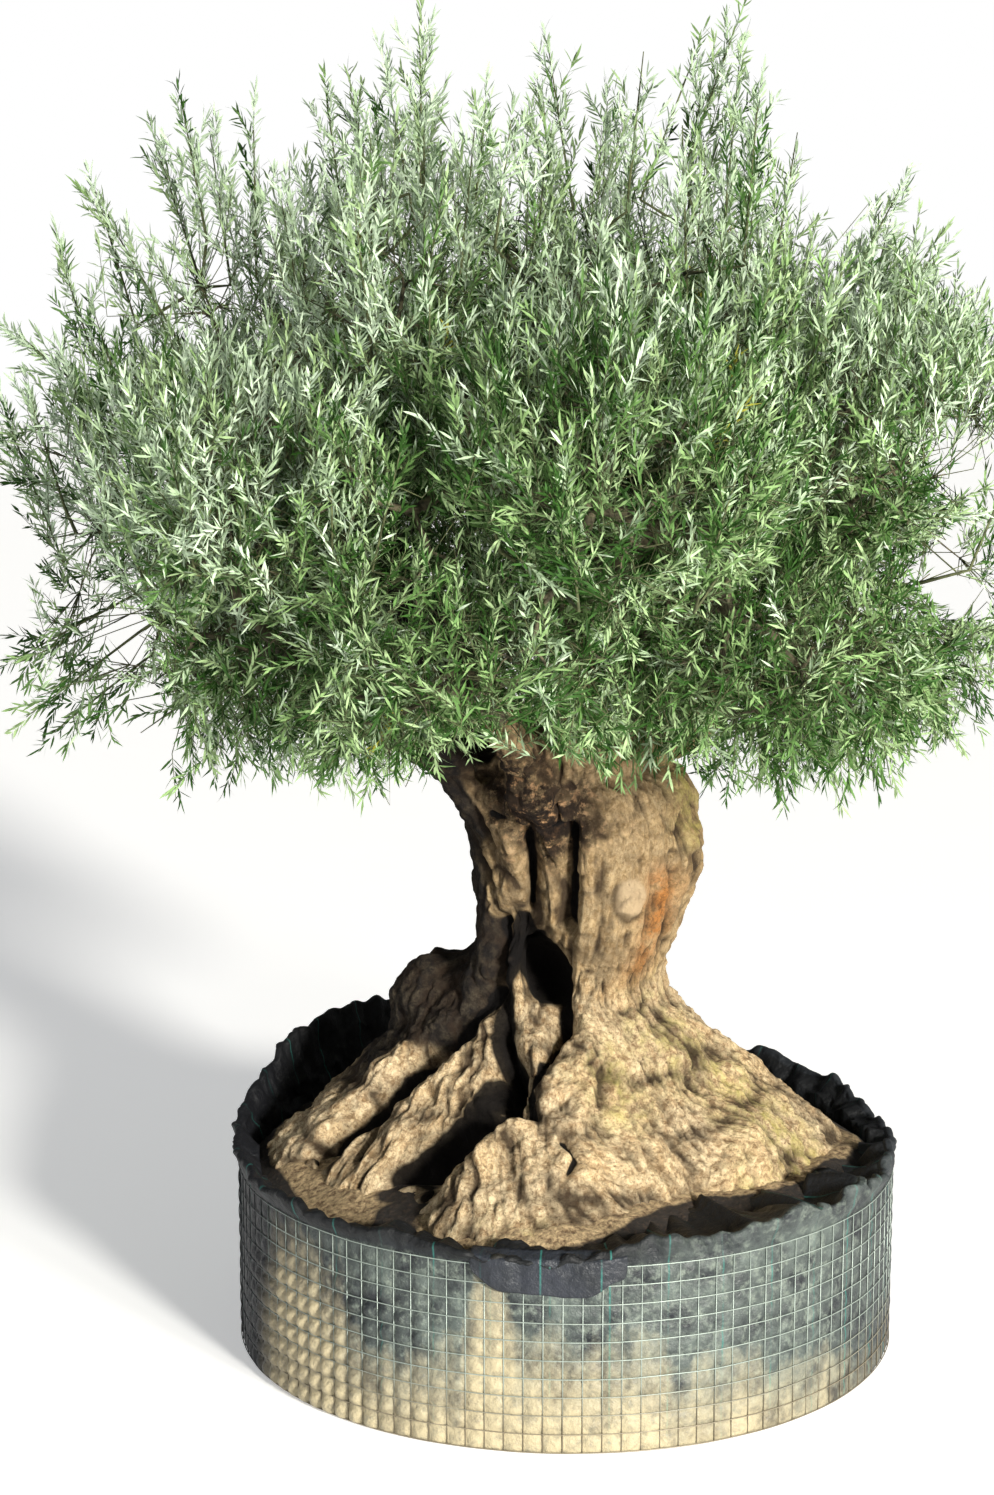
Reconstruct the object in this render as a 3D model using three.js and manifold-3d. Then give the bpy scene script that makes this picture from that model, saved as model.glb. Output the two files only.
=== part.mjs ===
// An ancient olive tree standing in its root-ball container.
// Units are millimetres, +Z is up, and the origin is the middle of the flat underside.
// The front of the tree faces -Y. Angles are in degrees, counted from +X towards +Y.

import * as THREE from 'three';
import { mergeVertices } from 'three/addons/utils/BufferGeometryUtils.js';
import Module from 'manifold-3d';

const manifoldLibrary = await Module();
manifoldLibrary.setup();

// ---------------------------------------------------------------- driving dimensions

const GAP = 0.4; // clearance left between touching pieces

// Container: welded wire round a lining of woven plastic, filled with earth.
const CAGE_RADIUS = 910; // outside of the welded wire
const CAGE_HEIGHT = 500; // ten rows of 50 mm squares
const CAGE_THICKNESS = 4;
const CAGE_FOOT = 4; // the lowest wire clears the floor by this much
const WRAP_THICKNESS = 7;
const WRAP_FOOT = 2;
const RIM_THICKNESS = 14; // the rim is a crumpled fold, thicker than the wall
const RIM_HEIGHT = 515; // where the rim stands lowest
const RIM_LEAN = 16; // the rim leans out by this much at its top
const RIM_WAVE = 10; // crumples along the rim
const RIM_WAVES = 13;
const RIM_PEAK = { at: 137, rise: 195, width: 28 }; // the cloth stands up at the back left
const RIM_SHOULDER = { at: 58, rise: 50, width: 28 };
const SOIL_HEIGHT = 470;
const CONTAINER_SIDES = 40;

// Trunk: a wide ribbed root flare, a neck, and a head where the limbs fork.
const NECK_HEIGHT = 1040;
const FORK_HEIGHT = 1610;
const NECK_RADIUS = 252;
const HEAD_RADIUS = 318;
const TRUNK_DEPTH = 0.9; // the trunk is this much narrower front to back
const TRUNK_LEAN = 46; // the axis swings to +X by this much above the neck
const TRUNK_SIDES = 32;
const FLARE_LEVELS = 7;
const STEM_LEVELS = 6;
const FLARE_RADIUS = 570; // between the root ridges, at the soil
const FLARE_SLOPE = 1.5; // higher is a more hollow slope
const FLARE_SWELL = 0.45;
// Root ridges: how far each reaches past the flare, and how high up the stem it runs.
const ROOT_RIDGES = [
  { at: 184, reach: 225, width: 24, top: 1130 },
  { at: 150, reach: 165, width: 18, top: 1230 },
  { at: 262, reach: 215, width: 20, top: 1040 },
  { at: 320, reach: 130, width: 13, top: 1000 },
  { at: 358, reach: 235, width: 24, top: 1000 },
  { at: 78, reach: 185, width: 26, top: 1080 },
];
const HOLLOW = { at: 258, height: 1030, width: 15, tall: 150, depth: 95 };
const STEM_GROOVE = { at: 250, height: 1380, width: 13, tall: 260, depth: 48 };
const STEM_BULGE = { at: 352, height: 1420, width: 30, tall: 120, depth: -12 };
const LEFT_BURR = { at: 163, height: 940, width: 22, tall: 105, depth: -135 };

// Boughs: tapering limbs from the fork to the foliage.
const BOUGH_SIDES = 8;
const BOUGH_STEPS = 5;
const BOUGH_ROOT_DEPTH = 130; // how far a bough starts inside the head of the trunk
const BOUGH_SOCKET = 0.8; // it ends at this share of the way out from the mass's middle
const BOUGH_TAPER = 0.5;
const BOUGH_WANDER = 70; // sideways sway of a bough between its ends
const BOUGH_RISE_AT = 0.35; // where along itself it arches up
const BOUGH_SWAY_AT = 0.7; // where it sways aside
const BOUGH_SPREAD = 0.25; // where it leaves the head, as a share of the way out to its mass
const BOUGH_SPREAD_MOST = 200; // and at most this far from the head's middle

// Crown: tiers of foliage masses round a middle that is left of the container's.
const CROWN_X = -130;
const CROWN_DEPTH = 0.92; // the crown is this much narrower front to back
const CROWN_PULL = 0.05; // it spreads this share further on its left than on its right
const MASS_DETAIL = 2; // subdivisions of an icosahedron's faces
const MASS_LUMPS = 0.1; // unevenness, as a share of the radius
const HEIGHT_SPREAD = 35; // how far the masses of one tier stand above and below it
const SIZE_SPREAD = 0.05; // how far they differ in size, as a share
// Each tier is a ring of masses. Its tilt raises its right side and lowers its left side.
const SKIRT = { count: 7, turn: 3, ring: 900, height: 2045, radius: 480, tall: 385, tilt: -50 };
const BELT = { count: 7, turn: 26, ring: 920, height: 2530, radius: 490, tall: 400, tilt: 60 };
const SHOULDER = { count: 6, turn: 12, ring: 670, height: 2920, radius: 440, tall: 360, tilt: -50 };
const CROWN_TOP = { count: 2, turn: 20, ring: 220, height: 3080, radius: 400, tall: 330, tilt: 0 };
const TIERS = [
  { name: 'foliage_skirt', ...SKIRT },
  { name: 'foliage_belt', ...BELT },
  { name: 'foliage_shoulder', ...SHOULDER },
  { name: 'foliage_top', ...CROWN_TOP },
];
const NEIGHBOUR_REACH = 1.15; // masses nearer than this share of their radii are parted
const CUTTER_SIZE = 4000; // larger than any mass that it cuts

// Tall leafy shoots that stand out of the crown, each a slim cone on the mass below it.
const SHOOT_RADIUS = 120;
const SHOOT_LENGTH = 480;
const SHOOT_SIDES = 6;
const SHOOT_UPWARD = 1; // how much straighter up a shoot stands than its mass faces
const SHOOTS = [
  { x: -390, y: -100, tip: 3600 },
  { x: -490, y: -60, tip: 3500 },
  { x: -60, y: 120, tip: 3535 },
  { x: 190, y: -120, tip: 3530 },
  { x: 450, y: 20, tip: 3605 },
  { x: 350, y: 60, tip: 3540 },
  { x: -590, y: 200, tip: 3430 },
  { x: -820, y: -80, tip: 3370 },
  { x: -960, y: 160, tip: 3320 },
  { x: -1090, y: -60, tip: 3300 },
  { x: -1250, y: 40, tip: 3120 },
  { x: 620, y: 180, tip: 3330 },
  { x: 880, y: -60, tip: 3180 },
  { x: 1010, y: 120, tip: 3000 },
  { x: -240, y: -560, tip: 3330 },
  { x: 260, y: -540, tip: 3340 },
  { x: 120, y: 560, tip: 3420 },
  { x: -360, y: 640, tip: 3350 },
];

// Which masses the boughs run to, as tier number and place in the tier.
const BOUGH_FEEDS = [
  { tier: 0, place: 0, radius: 78 },
  { tier: 0, place: 2, radius: 72 },
  { tier: 0, place: 4, radius: 80 },
  { tier: 0, place: 5, radius: 70 },
  { tier: 1, place: 0, radius: 74 },
  { tier: 1, place: 1, radius: 66 },
  { tier: 1, place: 3, radius: 76 },
  { tier: 1, place: 5, radius: 64 },
  { tier: 2, place: 3, radius: 62 },
  { tier: 3, place: 0, radius: 68 },
];

// ---------------------------------------------------------------- materials

function makeMaterial(color, roughness, metalness) {
  return new THREE.MeshStandardMaterial({ color, roughness, metalness });
}

const earthMaterial = makeMaterial(0x4a3b2c, 1.0, 0);
const wovenPlasticMaterial = makeMaterial(0x23292a, 0.45, 0);
const galvanisedMaterial = makeMaterial(0x9aa19d, 0.4, 1);
const barkMaterial = makeMaterial(0xb59c74, 0.95, 0);
const limbMaterial = makeMaterial(0x8d7c62, 0.9, 0);
const leafMaterial = makeMaterial(0x7d9468, 0.7, 0);

// ---------------------------------------------------------------- general helpers

// A smooth hump of height 1 that fades out over `width` on either side of `middle`.
function hump(value, middle, width) {
  return Math.exp(-(((value - middle) / width) ** 2));
}

// The same hump round a circle, in degrees.
function humpAround(angle, middle, width) {
  const away = THREE.MathUtils.euclideanModulo(angle - middle + 180, 360) - 180;
  return hump(away, 0, width);
}

// A repeatable number between -1 and 1 for a seed; another pace gives another number.
function vary(seed, pace) {
  return Math.sin(seed * pace);
}

function polar(radius, angle, height) {
  const radians = THREE.MathUtils.degToRad(angle);
  return new THREE.Vector3(radius * Math.cos(radians), radius * Math.sin(radians), height);
}

function geometryFrom(points, triangles) {
  const geometry = new THREE.BufferGeometry().setFromPoints(points);
  geometry.setIndex(triangles);
  return geometry;
}

// A closed solid through a stack of rings that have the same number of points each.
function loft(rings) {
  const sides = rings[0].length;
  const points = rings.flat();
  const triangles = [];
  for (let level = 0; level < rings.length - 1; level += 1) {
    for (let side = 0; side < sides; side += 1) {
      const next = (side + 1) % sides;
      const a = level * sides + side;
      const b = level * sides + next;
      triangles.push(a, b, b + sides, a, b + sides, a + sides);
    }
  }
  const lastRing = (rings.length - 1) * sides;
  const bottom = points.push(middleOf(rings[0])) - 1;
  const top = points.push(middleOf(rings[rings.length - 1])) - 1;
  for (let side = 0; side < sides; side += 1) {
    const next = (side + 1) % sides;
    triangles.push(bottom, next, side);
    triangles.push(top, lastRing + side, lastRing + next);
  }
  return geometryFrom(points, triangles);
}

function middleOf(ring) {
  const sum = new THREE.Vector3();
  for (const point of ring) {
    sum.add(point);
  }
  return sum.divideScalar(ring.length);
}

// A closed hoop: a section of (radius, height) corners carried round the Z axis.
function hoop(sectionAt, sides) {
  const points = [];
  const triangles = [];
  const corners = sectionAt(0).length;
  for (let side = 0; side < sides; side += 1) {
    const angle = (360 * side) / sides;
    for (const corner of sectionAt(angle)) {
      points.push(polar(corner.x, angle, corner.y));
    }
  }
  for (let side = 0; side < sides; side += 1) {
    const near = side * corners;
    const far = ((side + 1) % sides) * corners;
    for (let corner = 0; corner < corners; corner += 1) {
      const next = (corner + 1) % corners;
      triangles.push(near + corner, far + corner, far + next);
      triangles.push(near + corner, far + next, near + next);
    }
  }
  return geometryFrom(points, triangles);
}

// ---------------------------------------------------------------- joining and cutting

function toSolid(geometry) {
  const bare = geometry.clone();
  bare.deleteAttribute('normal');
  bare.deleteAttribute('uv');
  const merged = mergeVertices(bare, 1e-3);
  const mesh = new manifoldLibrary.Mesh({
    numProp: 3,
    vertProperties: new Float32Array(merged.attributes.position.array),
    triVerts: new Uint32Array(merged.index.array),
  });
  return new manifoldLibrary.Manifold(mesh);
}

function toGeometry(solid) {
  const mesh = solid.getMesh();
  const geometry = new THREE.BufferGeometry();
  geometry.setAttribute('position', new THREE.BufferAttribute(mesh.vertProperties, 3));
  geometry.setIndex(new THREE.BufferAttribute(mesh.triVerts, 1));
  return geometry;
}

// What is left of a solid outside its neighbours, without the crumbs that cutting leaves.
function cutAway(solid, neighbours) {
  let rest = solid;
  for (const neighbour of neighbours) {
    rest = rest.subtract(neighbour);
  }
  const pieces = rest.decompose();
  return pieces.reduce((largest, piece) => (piece.volume() > largest.volume() ? piece : largest));
}

function addMesh(group, name, geometry, material) {
  const mesh = new THREE.Mesh(geometry, material);
  mesh.name = name;
  group.add(mesh);
}

// ---------------------------------------------------------------- container

// The ball of earth: its underside is what the whole tree stands on.
function makeRootBall() {
  const radius = CAGE_RADIUS - CAGE_THICKNESS - WRAP_THICKNESS - 2 * GAP;
  const geometry = new THREE.CylinderGeometry(radius, radius, SOIL_HEIGHT, CONTAINER_SIDES);
  geometry.rotateX(Math.PI / 2);
  geometry.translate(0, 0, SOIL_HEIGHT / 2);
  return geometry;
}

function rimHeightAt(angle) {
  const peak = RIM_PEAK.rise * humpAround(angle, RIM_PEAK.at, RIM_PEAK.width);
  const shoulder = RIM_SHOULDER.rise * humpAround(angle, RIM_SHOULDER.at, RIM_SHOULDER.width);
  const crumple = RIM_WAVE * Math.sin(THREE.MathUtils.degToRad(angle * RIM_WAVES));
  return RIM_HEIGHT + peak + shoulder + crumple;
}

// The lining: a straight wall inside the wire, and a rim that stands up above it.
function makeFabricWrap() {
  const outer = CAGE_RADIUS - CAGE_THICKNESS - GAP;
  const inner = outer - WRAP_THICKNESS;
  return hoop((angle) => {
    const rim = rimHeightAt(angle);
    const lean = RIM_LEAN + RIM_WAVE * Math.cos(THREE.MathUtils.degToRad(angle * RIM_WAVES));
    return [
      new THREE.Vector2(outer, WRAP_FOOT),
      new THREE.Vector2(outer, CAGE_HEIGHT + GAP),
      new THREE.Vector2(outer + lean, rim),
      new THREE.Vector2(outer + lean - RIM_THICKNESS, rim),
      new THREE.Vector2(inner, SOIL_HEIGHT),
      new THREE.Vector2(inner, WRAP_FOOT),
    ];
  }, CONTAINER_SIDES);
}

function makeWireCage() {
  const inner = CAGE_RADIUS - CAGE_THICKNESS;
  return hoop(() => [
    new THREE.Vector2(inner, CAGE_FOOT),
    new THREE.Vector2(CAGE_RADIUS, CAGE_FOOT),
    new THREE.Vector2(CAGE_RADIUS, CAGE_HEIGHT),
    new THREE.Vector2(inner, CAGE_HEIGHT),
  ], CONTAINER_SIDES);
}

// ---------------------------------------------------------------- trunk

// How much of a flare's reach is left at a height, from 1 at the soil to 0 at its top.
function flareShare(height, top) {
  const up = THREE.MathUtils.clamp((height - SOIL_HEIGHT) / (top - SOIL_HEIGHT), 0, 1);
  return (1 - up) ** FLARE_SLOPE * (1 + FLARE_SWELL * Math.sin(Math.PI * up));
}

function flareAt(angle, height) {
  let flare = (FLARE_RADIUS - NECK_RADIUS) * flareShare(height, NECK_HEIGHT);
  for (const ridge of ROOT_RIDGES) {
    flare += ridge.reach * humpAround(angle, ridge.at, ridge.width) * flareShare(height, ridge.top);
  }
  return flare;
}

// How far a hollow or groove takes the surface in, at a place on the trunk.
function carvedDepth(feature, angle, height) {
  const around = humpAround(angle, feature.at, feature.width);
  return feature.depth * around * hump(height, feature.height, feature.tall);
}

function trunkRadiusAt(angle, height) {
  const stemShare = THREE.MathUtils.clamp((height - NECK_HEIGHT) / (FORK_HEIGHT - NECK_HEIGHT), 0, 1);
  const stem = THREE.MathUtils.lerp(NECK_RADIUS, HEAD_RADIUS, Math.sqrt(stemShare));
  let carved = 0;
  for (const feature of [HOLLOW, STEM_GROOVE, STEM_BULGE, LEFT_BURR]) {
    carved += carvedDepth(feature, angle, height);
  }
  return stem + flareAt(angle, height) - carved;
}

function trunkRing(height, grow) {
  const up = THREE.MathUtils.clamp((height - NECK_HEIGHT) / (FORK_HEIGHT - NECK_HEIGHT), 0, 1);
  const down = THREE.MathUtils.clamp((NECK_HEIGHT - height) / (NECK_HEIGHT - SOIL_HEIGHT), 0, 1);
  const depth = THREE.MathUtils.lerp(TRUNK_DEPTH, 1, down);
  const ring = [];
  for (let side = 0; side < TRUNK_SIDES; side += 1) {
    const angle = (360 * side) / TRUNK_SIDES;
    const point = polar(trunkRadiusAt(angle, height) + grow, angle, height);
    point.x += TRUNK_LEAN * Math.sin(Math.PI * up);
    point.y *= depth;
    ring.push(point);
  }
  return ring;
}

function makeTrunk(grow) {
  const foot = SOIL_HEIGHT + GAP;
  const rings = [];
  for (let level = 0; level < FLARE_LEVELS; level += 1) {
    rings.push(trunkRing(THREE.MathUtils.lerp(foot, NECK_HEIGHT, level / FLARE_LEVELS), grow));
  }
  for (let level = 0; level <= STEM_LEVELS; level += 1) {
    rings.push(trunkRing(THREE.MathUtils.lerp(NECK_HEIGHT, FORK_HEIGHT, level / STEM_LEVELS), grow));
  }
  for (const point of rings[rings.length - 1]) {
    point.z += grow;
  }
  return loft(rings);
}

// ---------------------------------------------------------------- crown

// Every mass of the crown: its middle, its radii and the number that seeds its lumps.
function layOutMasses() {
  const masses = [];
  TIERS.forEach((tier, tierNumber) => {
    for (let place = 0; place < tier.count; place += 1) {
      const angle = tier.turn + (360 * place) / tier.count;
      const pull = 1 - CROWN_PULL * Math.cos(THREE.MathUtils.degToRad(angle));
      const middle = polar(tier.ring * pull, angle, tier.height);
      middle.x += CROWN_X;
      middle.y *= CROWN_DEPTH;
      const seed = 1 + 3 * place + 11 * tierNumber;
      middle.z += tier.tilt * Math.cos(THREE.MathUtils.degToRad(angle));
      middle.z += HEIGHT_SPREAD * vary(seed, 2.3);
      masses.push({
        name: `${tier.name}_${place + 1}`,
        middle,
        radius: tier.radius * (1 + SIZE_SPREAD * vary(seed, 1.7)),
        tall: tier.tall * (1 + SIZE_SPREAD * vary(seed, 2.9)),
        seed,
        shoots: [],
      });
    }
  });
  return masses;
}

// How far a mass bulges in a direction, from broad swells and smaller lumps on them.
function lumpiness(direction, seed) {
  const swells = Math.sin(3 * direction.x + seed) + Math.sin(3 * direction.y + 2 * seed);
  const lumps = Math.sin(6 * direction.z + 3 * seed) * Math.cos(5 * direction.x - seed);
  return 1 + MASS_LUMPS * (swells / 2 + lumps / 2);
}

function makeMassBody(mass) {
  const geometry = mergeVertices(stripped(new THREE.IcosahedronGeometry(1, MASS_DETAIL)), 1e-4);
  const positions = geometry.attributes.position;
  const direction = new THREE.Vector3();
  for (let index = 0; index < positions.count; index += 1) {
    direction.fromBufferAttribute(positions, index).normalize();
    const lump = lumpiness(direction, mass.seed);
    const point = new THREE.Vector3(mass.radius, mass.radius, mass.tall).multiply(direction);
    point.multiplyScalar(lump).add(mass.middle);
    positions.setXYZ(index, point.x, point.y, point.z);
  }
  return geometry;
}

function stripped(geometry) {
  geometry.deleteAttribute('normal');
  geometry.deleteAttribute('uv');
  return geometry;
}

// A shoot is a cone that points upwards and away from the middle of its mass.
function makeShoot(shoot, middle) {
  const outward = shoot.clone().sub(middle).normalize();
  outward.z += SHOOT_UPWARD;
  outward.normalize();
  const geometry = new THREE.ConeGeometry(SHOOT_RADIUS, SHOOT_LENGTH, SHOOT_SIDES);
  geometry.translate(0, -SHOOT_LENGTH / 2, 0);
  const up = new THREE.Vector3(0, 1, 0);
  geometry.applyQuaternion(new THREE.Quaternion().setFromUnitVectors(up, outward));
  geometry.translate(shoot.x, shoot.y, shoot.z);
  return geometry;
}

// The distance from a mass's middle to its plain surface, in a direction.
function reachOf(mass, direction) {
  const share = direction.clone().divide(new THREE.Vector3(mass.radius, mass.radius, mass.tall));
  return 1 / share.length();
}

// Each shoot grows on the mass that it lies nearest to, for that mass's size.
function giveShoots(masses) {
  for (const { x, y, tip } of SHOOTS) {
    const shoot = new THREE.Vector3(x, y, tip);
    const farness = (mass) => {
      const away = shoot.clone().sub(mass.middle);
      return away.length() / reachOf(mass, away.clone().normalize());
    };
    const own = masses.reduce((best, mass) => (farness(mass) < farness(best) ? mass : best));
    own.shoots.push(shoot);
  }
}

// Everything on the far side of the flat face where two masses meet, or null if they don't.
function beyondMeeting(mass, other) {
  const across = other.middle.clone().sub(mass.middle);
  const distance = across.length();
  across.normalize();
  const reach = reachOf(mass, across);
  const bothReaches = reach + reachOf(other, across);
  if (distance > bothReaches * NEIGHBOUR_REACH) {
    return null;
  }
  const meeting = distance * (reach / bothReaches) - GAP / 2;
  const geometry = new THREE.BoxGeometry(CUTTER_SIZE, CUTTER_SIZE, CUTTER_SIZE);
  geometry.translate(0, 0, CUTTER_SIZE / 2);
  const up = new THREE.Vector3(0, 0, 1);
  geometry.applyQuaternion(new THREE.Quaternion().setFromUnitVectors(up, across));
  geometry.translate(...mass.middle.clone().addScaledVector(across, meeting).toArray());
  return toSolid(geometry);
}

// One mass: its lumpy body and its shoots, up to the flat faces where its neighbours start.
function makeMass(mass, masses) {
  let solid = toSolid(makeMassBody(mass));
  for (const shoot of mass.shoots) {
    solid = solid.add(toSolid(makeShoot(shoot, mass.middle)));
  }
  for (const other of masses) {
    const beyond = other === mass ? null : beyondMeeting(mass, other);
    if (beyond) {
      solid = solid.subtract(beyond);
    }
  }
  return solid;
}

// ---------------------------------------------------------------- boughs

// The middle line of a bough: out of the head of the trunk, up, and into its mass.
function boughCurve(mass, number) {
  const toMass = mass.middle.clone().sub(new THREE.Vector3(0, 0, FORK_HEIGHT));
  const angle = THREE.MathUtils.radToDeg(Math.atan2(toMass.y, toMass.x));
  const spread = Math.min(Math.hypot(toMass.x, toMass.y) * BOUGH_SPREAD, BOUGH_SPREAD_MOST);
  const start = polar(spread, angle, FORK_HEIGHT - BOUGH_ROOT_DEPTH);
  const inward = start.clone().sub(mass.middle).normalize();
  const reach = inward.clone().multiply(new THREE.Vector3(mass.radius, mass.radius, mass.tall));
  const end = mass.middle.clone().addScaledVector(reach, BOUGH_SOCKET);
  const rise = start.clone().lerp(end, BOUGH_RISE_AT);
  rise.z += BOUGH_WANDER;
  const sway = start.clone().lerp(end, BOUGH_SWAY_AT);
  sway.add(polar(BOUGH_WANDER * vary(number, 2.1), angle + 90, 0));
  return new THREE.CatmullRomCurve3([start, rise, sway, end]);
}

function makeBough(curve, radius, grow) {
  const frames = curve.computeFrenetFrames(BOUGH_STEPS, false);
  const rings = [];
  for (let step = 0; step <= BOUGH_STEPS; step += 1) {
    const share = step / BOUGH_STEPS;
    const size = radius * (1 - BOUGH_TAPER * share) + grow;
    const middle = curve.getPointAt(share);
    const overrun = step === BOUGH_STEPS ? grow : 0;
    middle.addScaledVector(frames.tangents[step], overrun);
    const ring = [];
    for (let side = 0; side < BOUGH_SIDES; side += 1) {
      const turn = (2 * Math.PI * side) / BOUGH_SIDES;
      const point = middle.clone();
      point.addScaledVector(frames.normals[step], size * Math.cos(turn));
      point.addScaledVector(frames.binormals[step], size * Math.sin(turn));
      ring.push(point);
    }
    rings.push(ring);
  }
  return loft(rings);
}

// ---------------------------------------------------------------- assembly

const tree = new THREE.Group();
tree.name = 'olive_tree';

addMesh(tree, 'root_ball', makeRootBall(), earthMaterial);
addMesh(tree, 'fabric_wrap', makeFabricWrap(), wovenPlasticMaterial);
addMesh(tree, 'wire_cage', makeWireCage(), galvanisedMaterial);
addMesh(tree, 'trunk', makeTrunk(0), barkMaterial);

const masses = layOutMasses();
giveShoots(masses);

// Each piece is cut by the ones made before it, with the clearance between them.
const taken = [toSolid(makeTrunk(GAP))];

BOUGH_FEEDS.forEach((feed, number) => {
  const place = TIERS.slice(0, feed.tier).reduce((sum, tier) => sum + tier.count, feed.place);
  const curve = boughCurve(masses[place], number);
  const bough = cutAway(toSolid(makeBough(curve, feed.radius, 0)), taken);
  addMesh(tree, `bough_${number + 1}`, toGeometry(bough), limbMaterial);
  taken.push(toSolid(makeBough(curve, feed.radius, GAP)));
});

for (const mass of masses) {
  const foliage = cutAway(makeMass(mass, masses), taken);
  addMesh(tree, mass.name, toGeometry(foliage), leafMaterial);
}

export default tree;
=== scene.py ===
"""An ancient olive tree standing in its root-ball container.

The earth, the woven lining, the welded wire, the gnarled trunk with its boughs, and a crown of limbs,
twigs and leaves are made round the fixed frame. Units are metres, +Z is up, and the front faces -Y.
"""

import math

import bpy
import numpy as np
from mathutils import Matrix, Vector
from mathutils.bvhtree import BVHTree


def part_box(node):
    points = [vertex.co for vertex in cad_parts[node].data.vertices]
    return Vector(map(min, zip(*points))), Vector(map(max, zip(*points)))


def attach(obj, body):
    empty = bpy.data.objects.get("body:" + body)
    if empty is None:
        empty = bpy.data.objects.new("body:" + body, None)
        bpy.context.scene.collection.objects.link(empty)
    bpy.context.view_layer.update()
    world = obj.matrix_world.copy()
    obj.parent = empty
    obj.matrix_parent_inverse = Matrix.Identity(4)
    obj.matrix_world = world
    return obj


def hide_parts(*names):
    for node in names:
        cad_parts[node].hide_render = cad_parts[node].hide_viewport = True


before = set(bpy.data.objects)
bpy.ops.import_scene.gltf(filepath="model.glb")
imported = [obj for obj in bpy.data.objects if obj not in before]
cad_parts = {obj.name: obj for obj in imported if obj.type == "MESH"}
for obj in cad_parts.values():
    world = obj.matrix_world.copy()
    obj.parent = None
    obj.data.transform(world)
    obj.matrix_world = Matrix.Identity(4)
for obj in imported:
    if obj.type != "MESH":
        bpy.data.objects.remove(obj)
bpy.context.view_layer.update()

# ---- driving sizes ----

TURN = 2 * math.pi

CAGE_LOW, CAGE_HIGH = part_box("wire_cage")
CAGE_RADIUS = CAGE_HIGH.x
CAGE_TOP = CAGE_HIGH.z
EARTH_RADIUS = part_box("root_ball")[1].x
EARTH_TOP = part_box("root_ball")[1].z
TRUNK_LOW, TRUNK_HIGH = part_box("trunk")
FORK = TRUNK_HIGH.z

WIRE = 0.0030  # thickness of the galvanised wire
SQUARES_ROUND = 114  # squares of the mesh round the cage
SQUARES_HIGH = 10
WIRE_SWAY = 0.0014  # how far the wires stray in and out
WIRE_SAG = 0.0016  # how far they stray up and down

NECK = 1.04  # height of the narrowest part of the trunk
TRUNK_LEAN = 0.046  # the stem's middle line swings to +X by this much between neck and fork
TRUNK_DEPTH = 0.9  # the stem's size front to back, as a share of its width

BOUGHS = sorted(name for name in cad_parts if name.startswith("bough_"))
MASSES = sorted(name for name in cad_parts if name.startswith("foliage_"))


# ---- general helpers ----


def leave_nothing_selected():
    if bpy.context.object and bpy.context.object.mode != "OBJECT":
        bpy.ops.object.mode_set(mode="OBJECT")
    bpy.ops.object.select_all(action="DESELECT")


def take_up(piece):
    """Makes a piece the only selected one, and the one that operators work on."""
    leave_nothing_selected()
    piece.select_set(True)
    bpy.context.view_layer.objects.active = piece


def name_piece(name):
    """Names the primitive that was just added, and puts its place into its mesh."""
    piece = bpy.context.object
    piece.name = name
    piece.data.name = name
    bpy.ops.object.transform_apply(location=True, rotation=True, scale=True)
    return piece


def join_pieces(pieces):
    """Joins pieces into the first of them."""
    leave_nothing_selected()
    for piece in pieces:
        piece.select_set(True)
    bpy.context.view_layer.objects.active = pieces[0]
    bpy.ops.object.join()


def in_edit_mode(piece, work):
    """Runs work() on all of a piece's mesh in edit mode."""
    take_up(piece)
    bpy.ops.object.mode_set(mode="EDIT")
    bpy.ops.mesh.select_all(action="SELECT")
    work()
    bpy.ops.object.mode_set(mode="OBJECT")


def apply_modifier(piece, kind, **settings):
    take_up(piece)
    modifier = piece.modifiers.new(kind.title(), kind)
    for key, value in settings.items():
        setattr(modifier, key, value)
    bpy.ops.object.modifier_apply(modifier=modifier.name)


def read_vectors(source, name):
    vectors = np.empty(len(source) * 3, np.float32)
    source.foreach_get(name, vectors)
    return vectors.reshape(-1, 3).astype(float)


def points_of(mesh):
    return read_vectors(mesh.vertices, "co")


def normals_of(mesh):
    return read_vectors(mesh.vertex_normals, "vector")


def move_points(mesh, points):
    mesh.vertices.foreach_set("co", points.astype(np.float32).ravel())
    mesh.update()


def store_values(mesh, name, values):
    """Keeps one number for each point of a mesh, for its material to read."""
    layer = mesh.attributes.new(name, "FLOAT", "POINT")
    layer.data.foreach_set("value", values.astype(np.float32))


def store_vectors(mesh, name, vectors):
    layer = mesh.attributes.new(name, "FLOAT_VECTOR", "POINT")
    layer.data.foreach_set("vector", vectors.astype(np.float32).ravel())


def mesh_piece(name, points, faces):
    """A new piece from its points and from arrays of faces, each array with one number of corners."""
    mesh = bpy.data.meshes.new(name)
    mesh.vertices.add(len(points))
    mesh.vertices.foreach_set("co", points.astype(np.float32).ravel())
    corners = np.concatenate([group.ravel() for group in faces])
    sizes = np.concatenate([np.full(len(group), group.shape[1]) for group in faces])
    mesh.loops.add(len(corners))
    mesh.loops.foreach_set("vertex_index", corners.astype(np.int32))
    mesh.polygons.add(len(sizes))
    starts = np.concatenate([[0], np.cumsum(sizes)[:-1]])
    mesh.polygons.foreach_set("loop_start", starts.astype(np.int32))
    mesh.update(calc_edges=True)
    piece = bpy.data.objects.new(name, mesh)
    bpy.context.scene.collection.objects.link(piece)
    return piece


def smooth(piece):
    take_up(piece)
    bpy.ops.object.shade_smooth()


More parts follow.
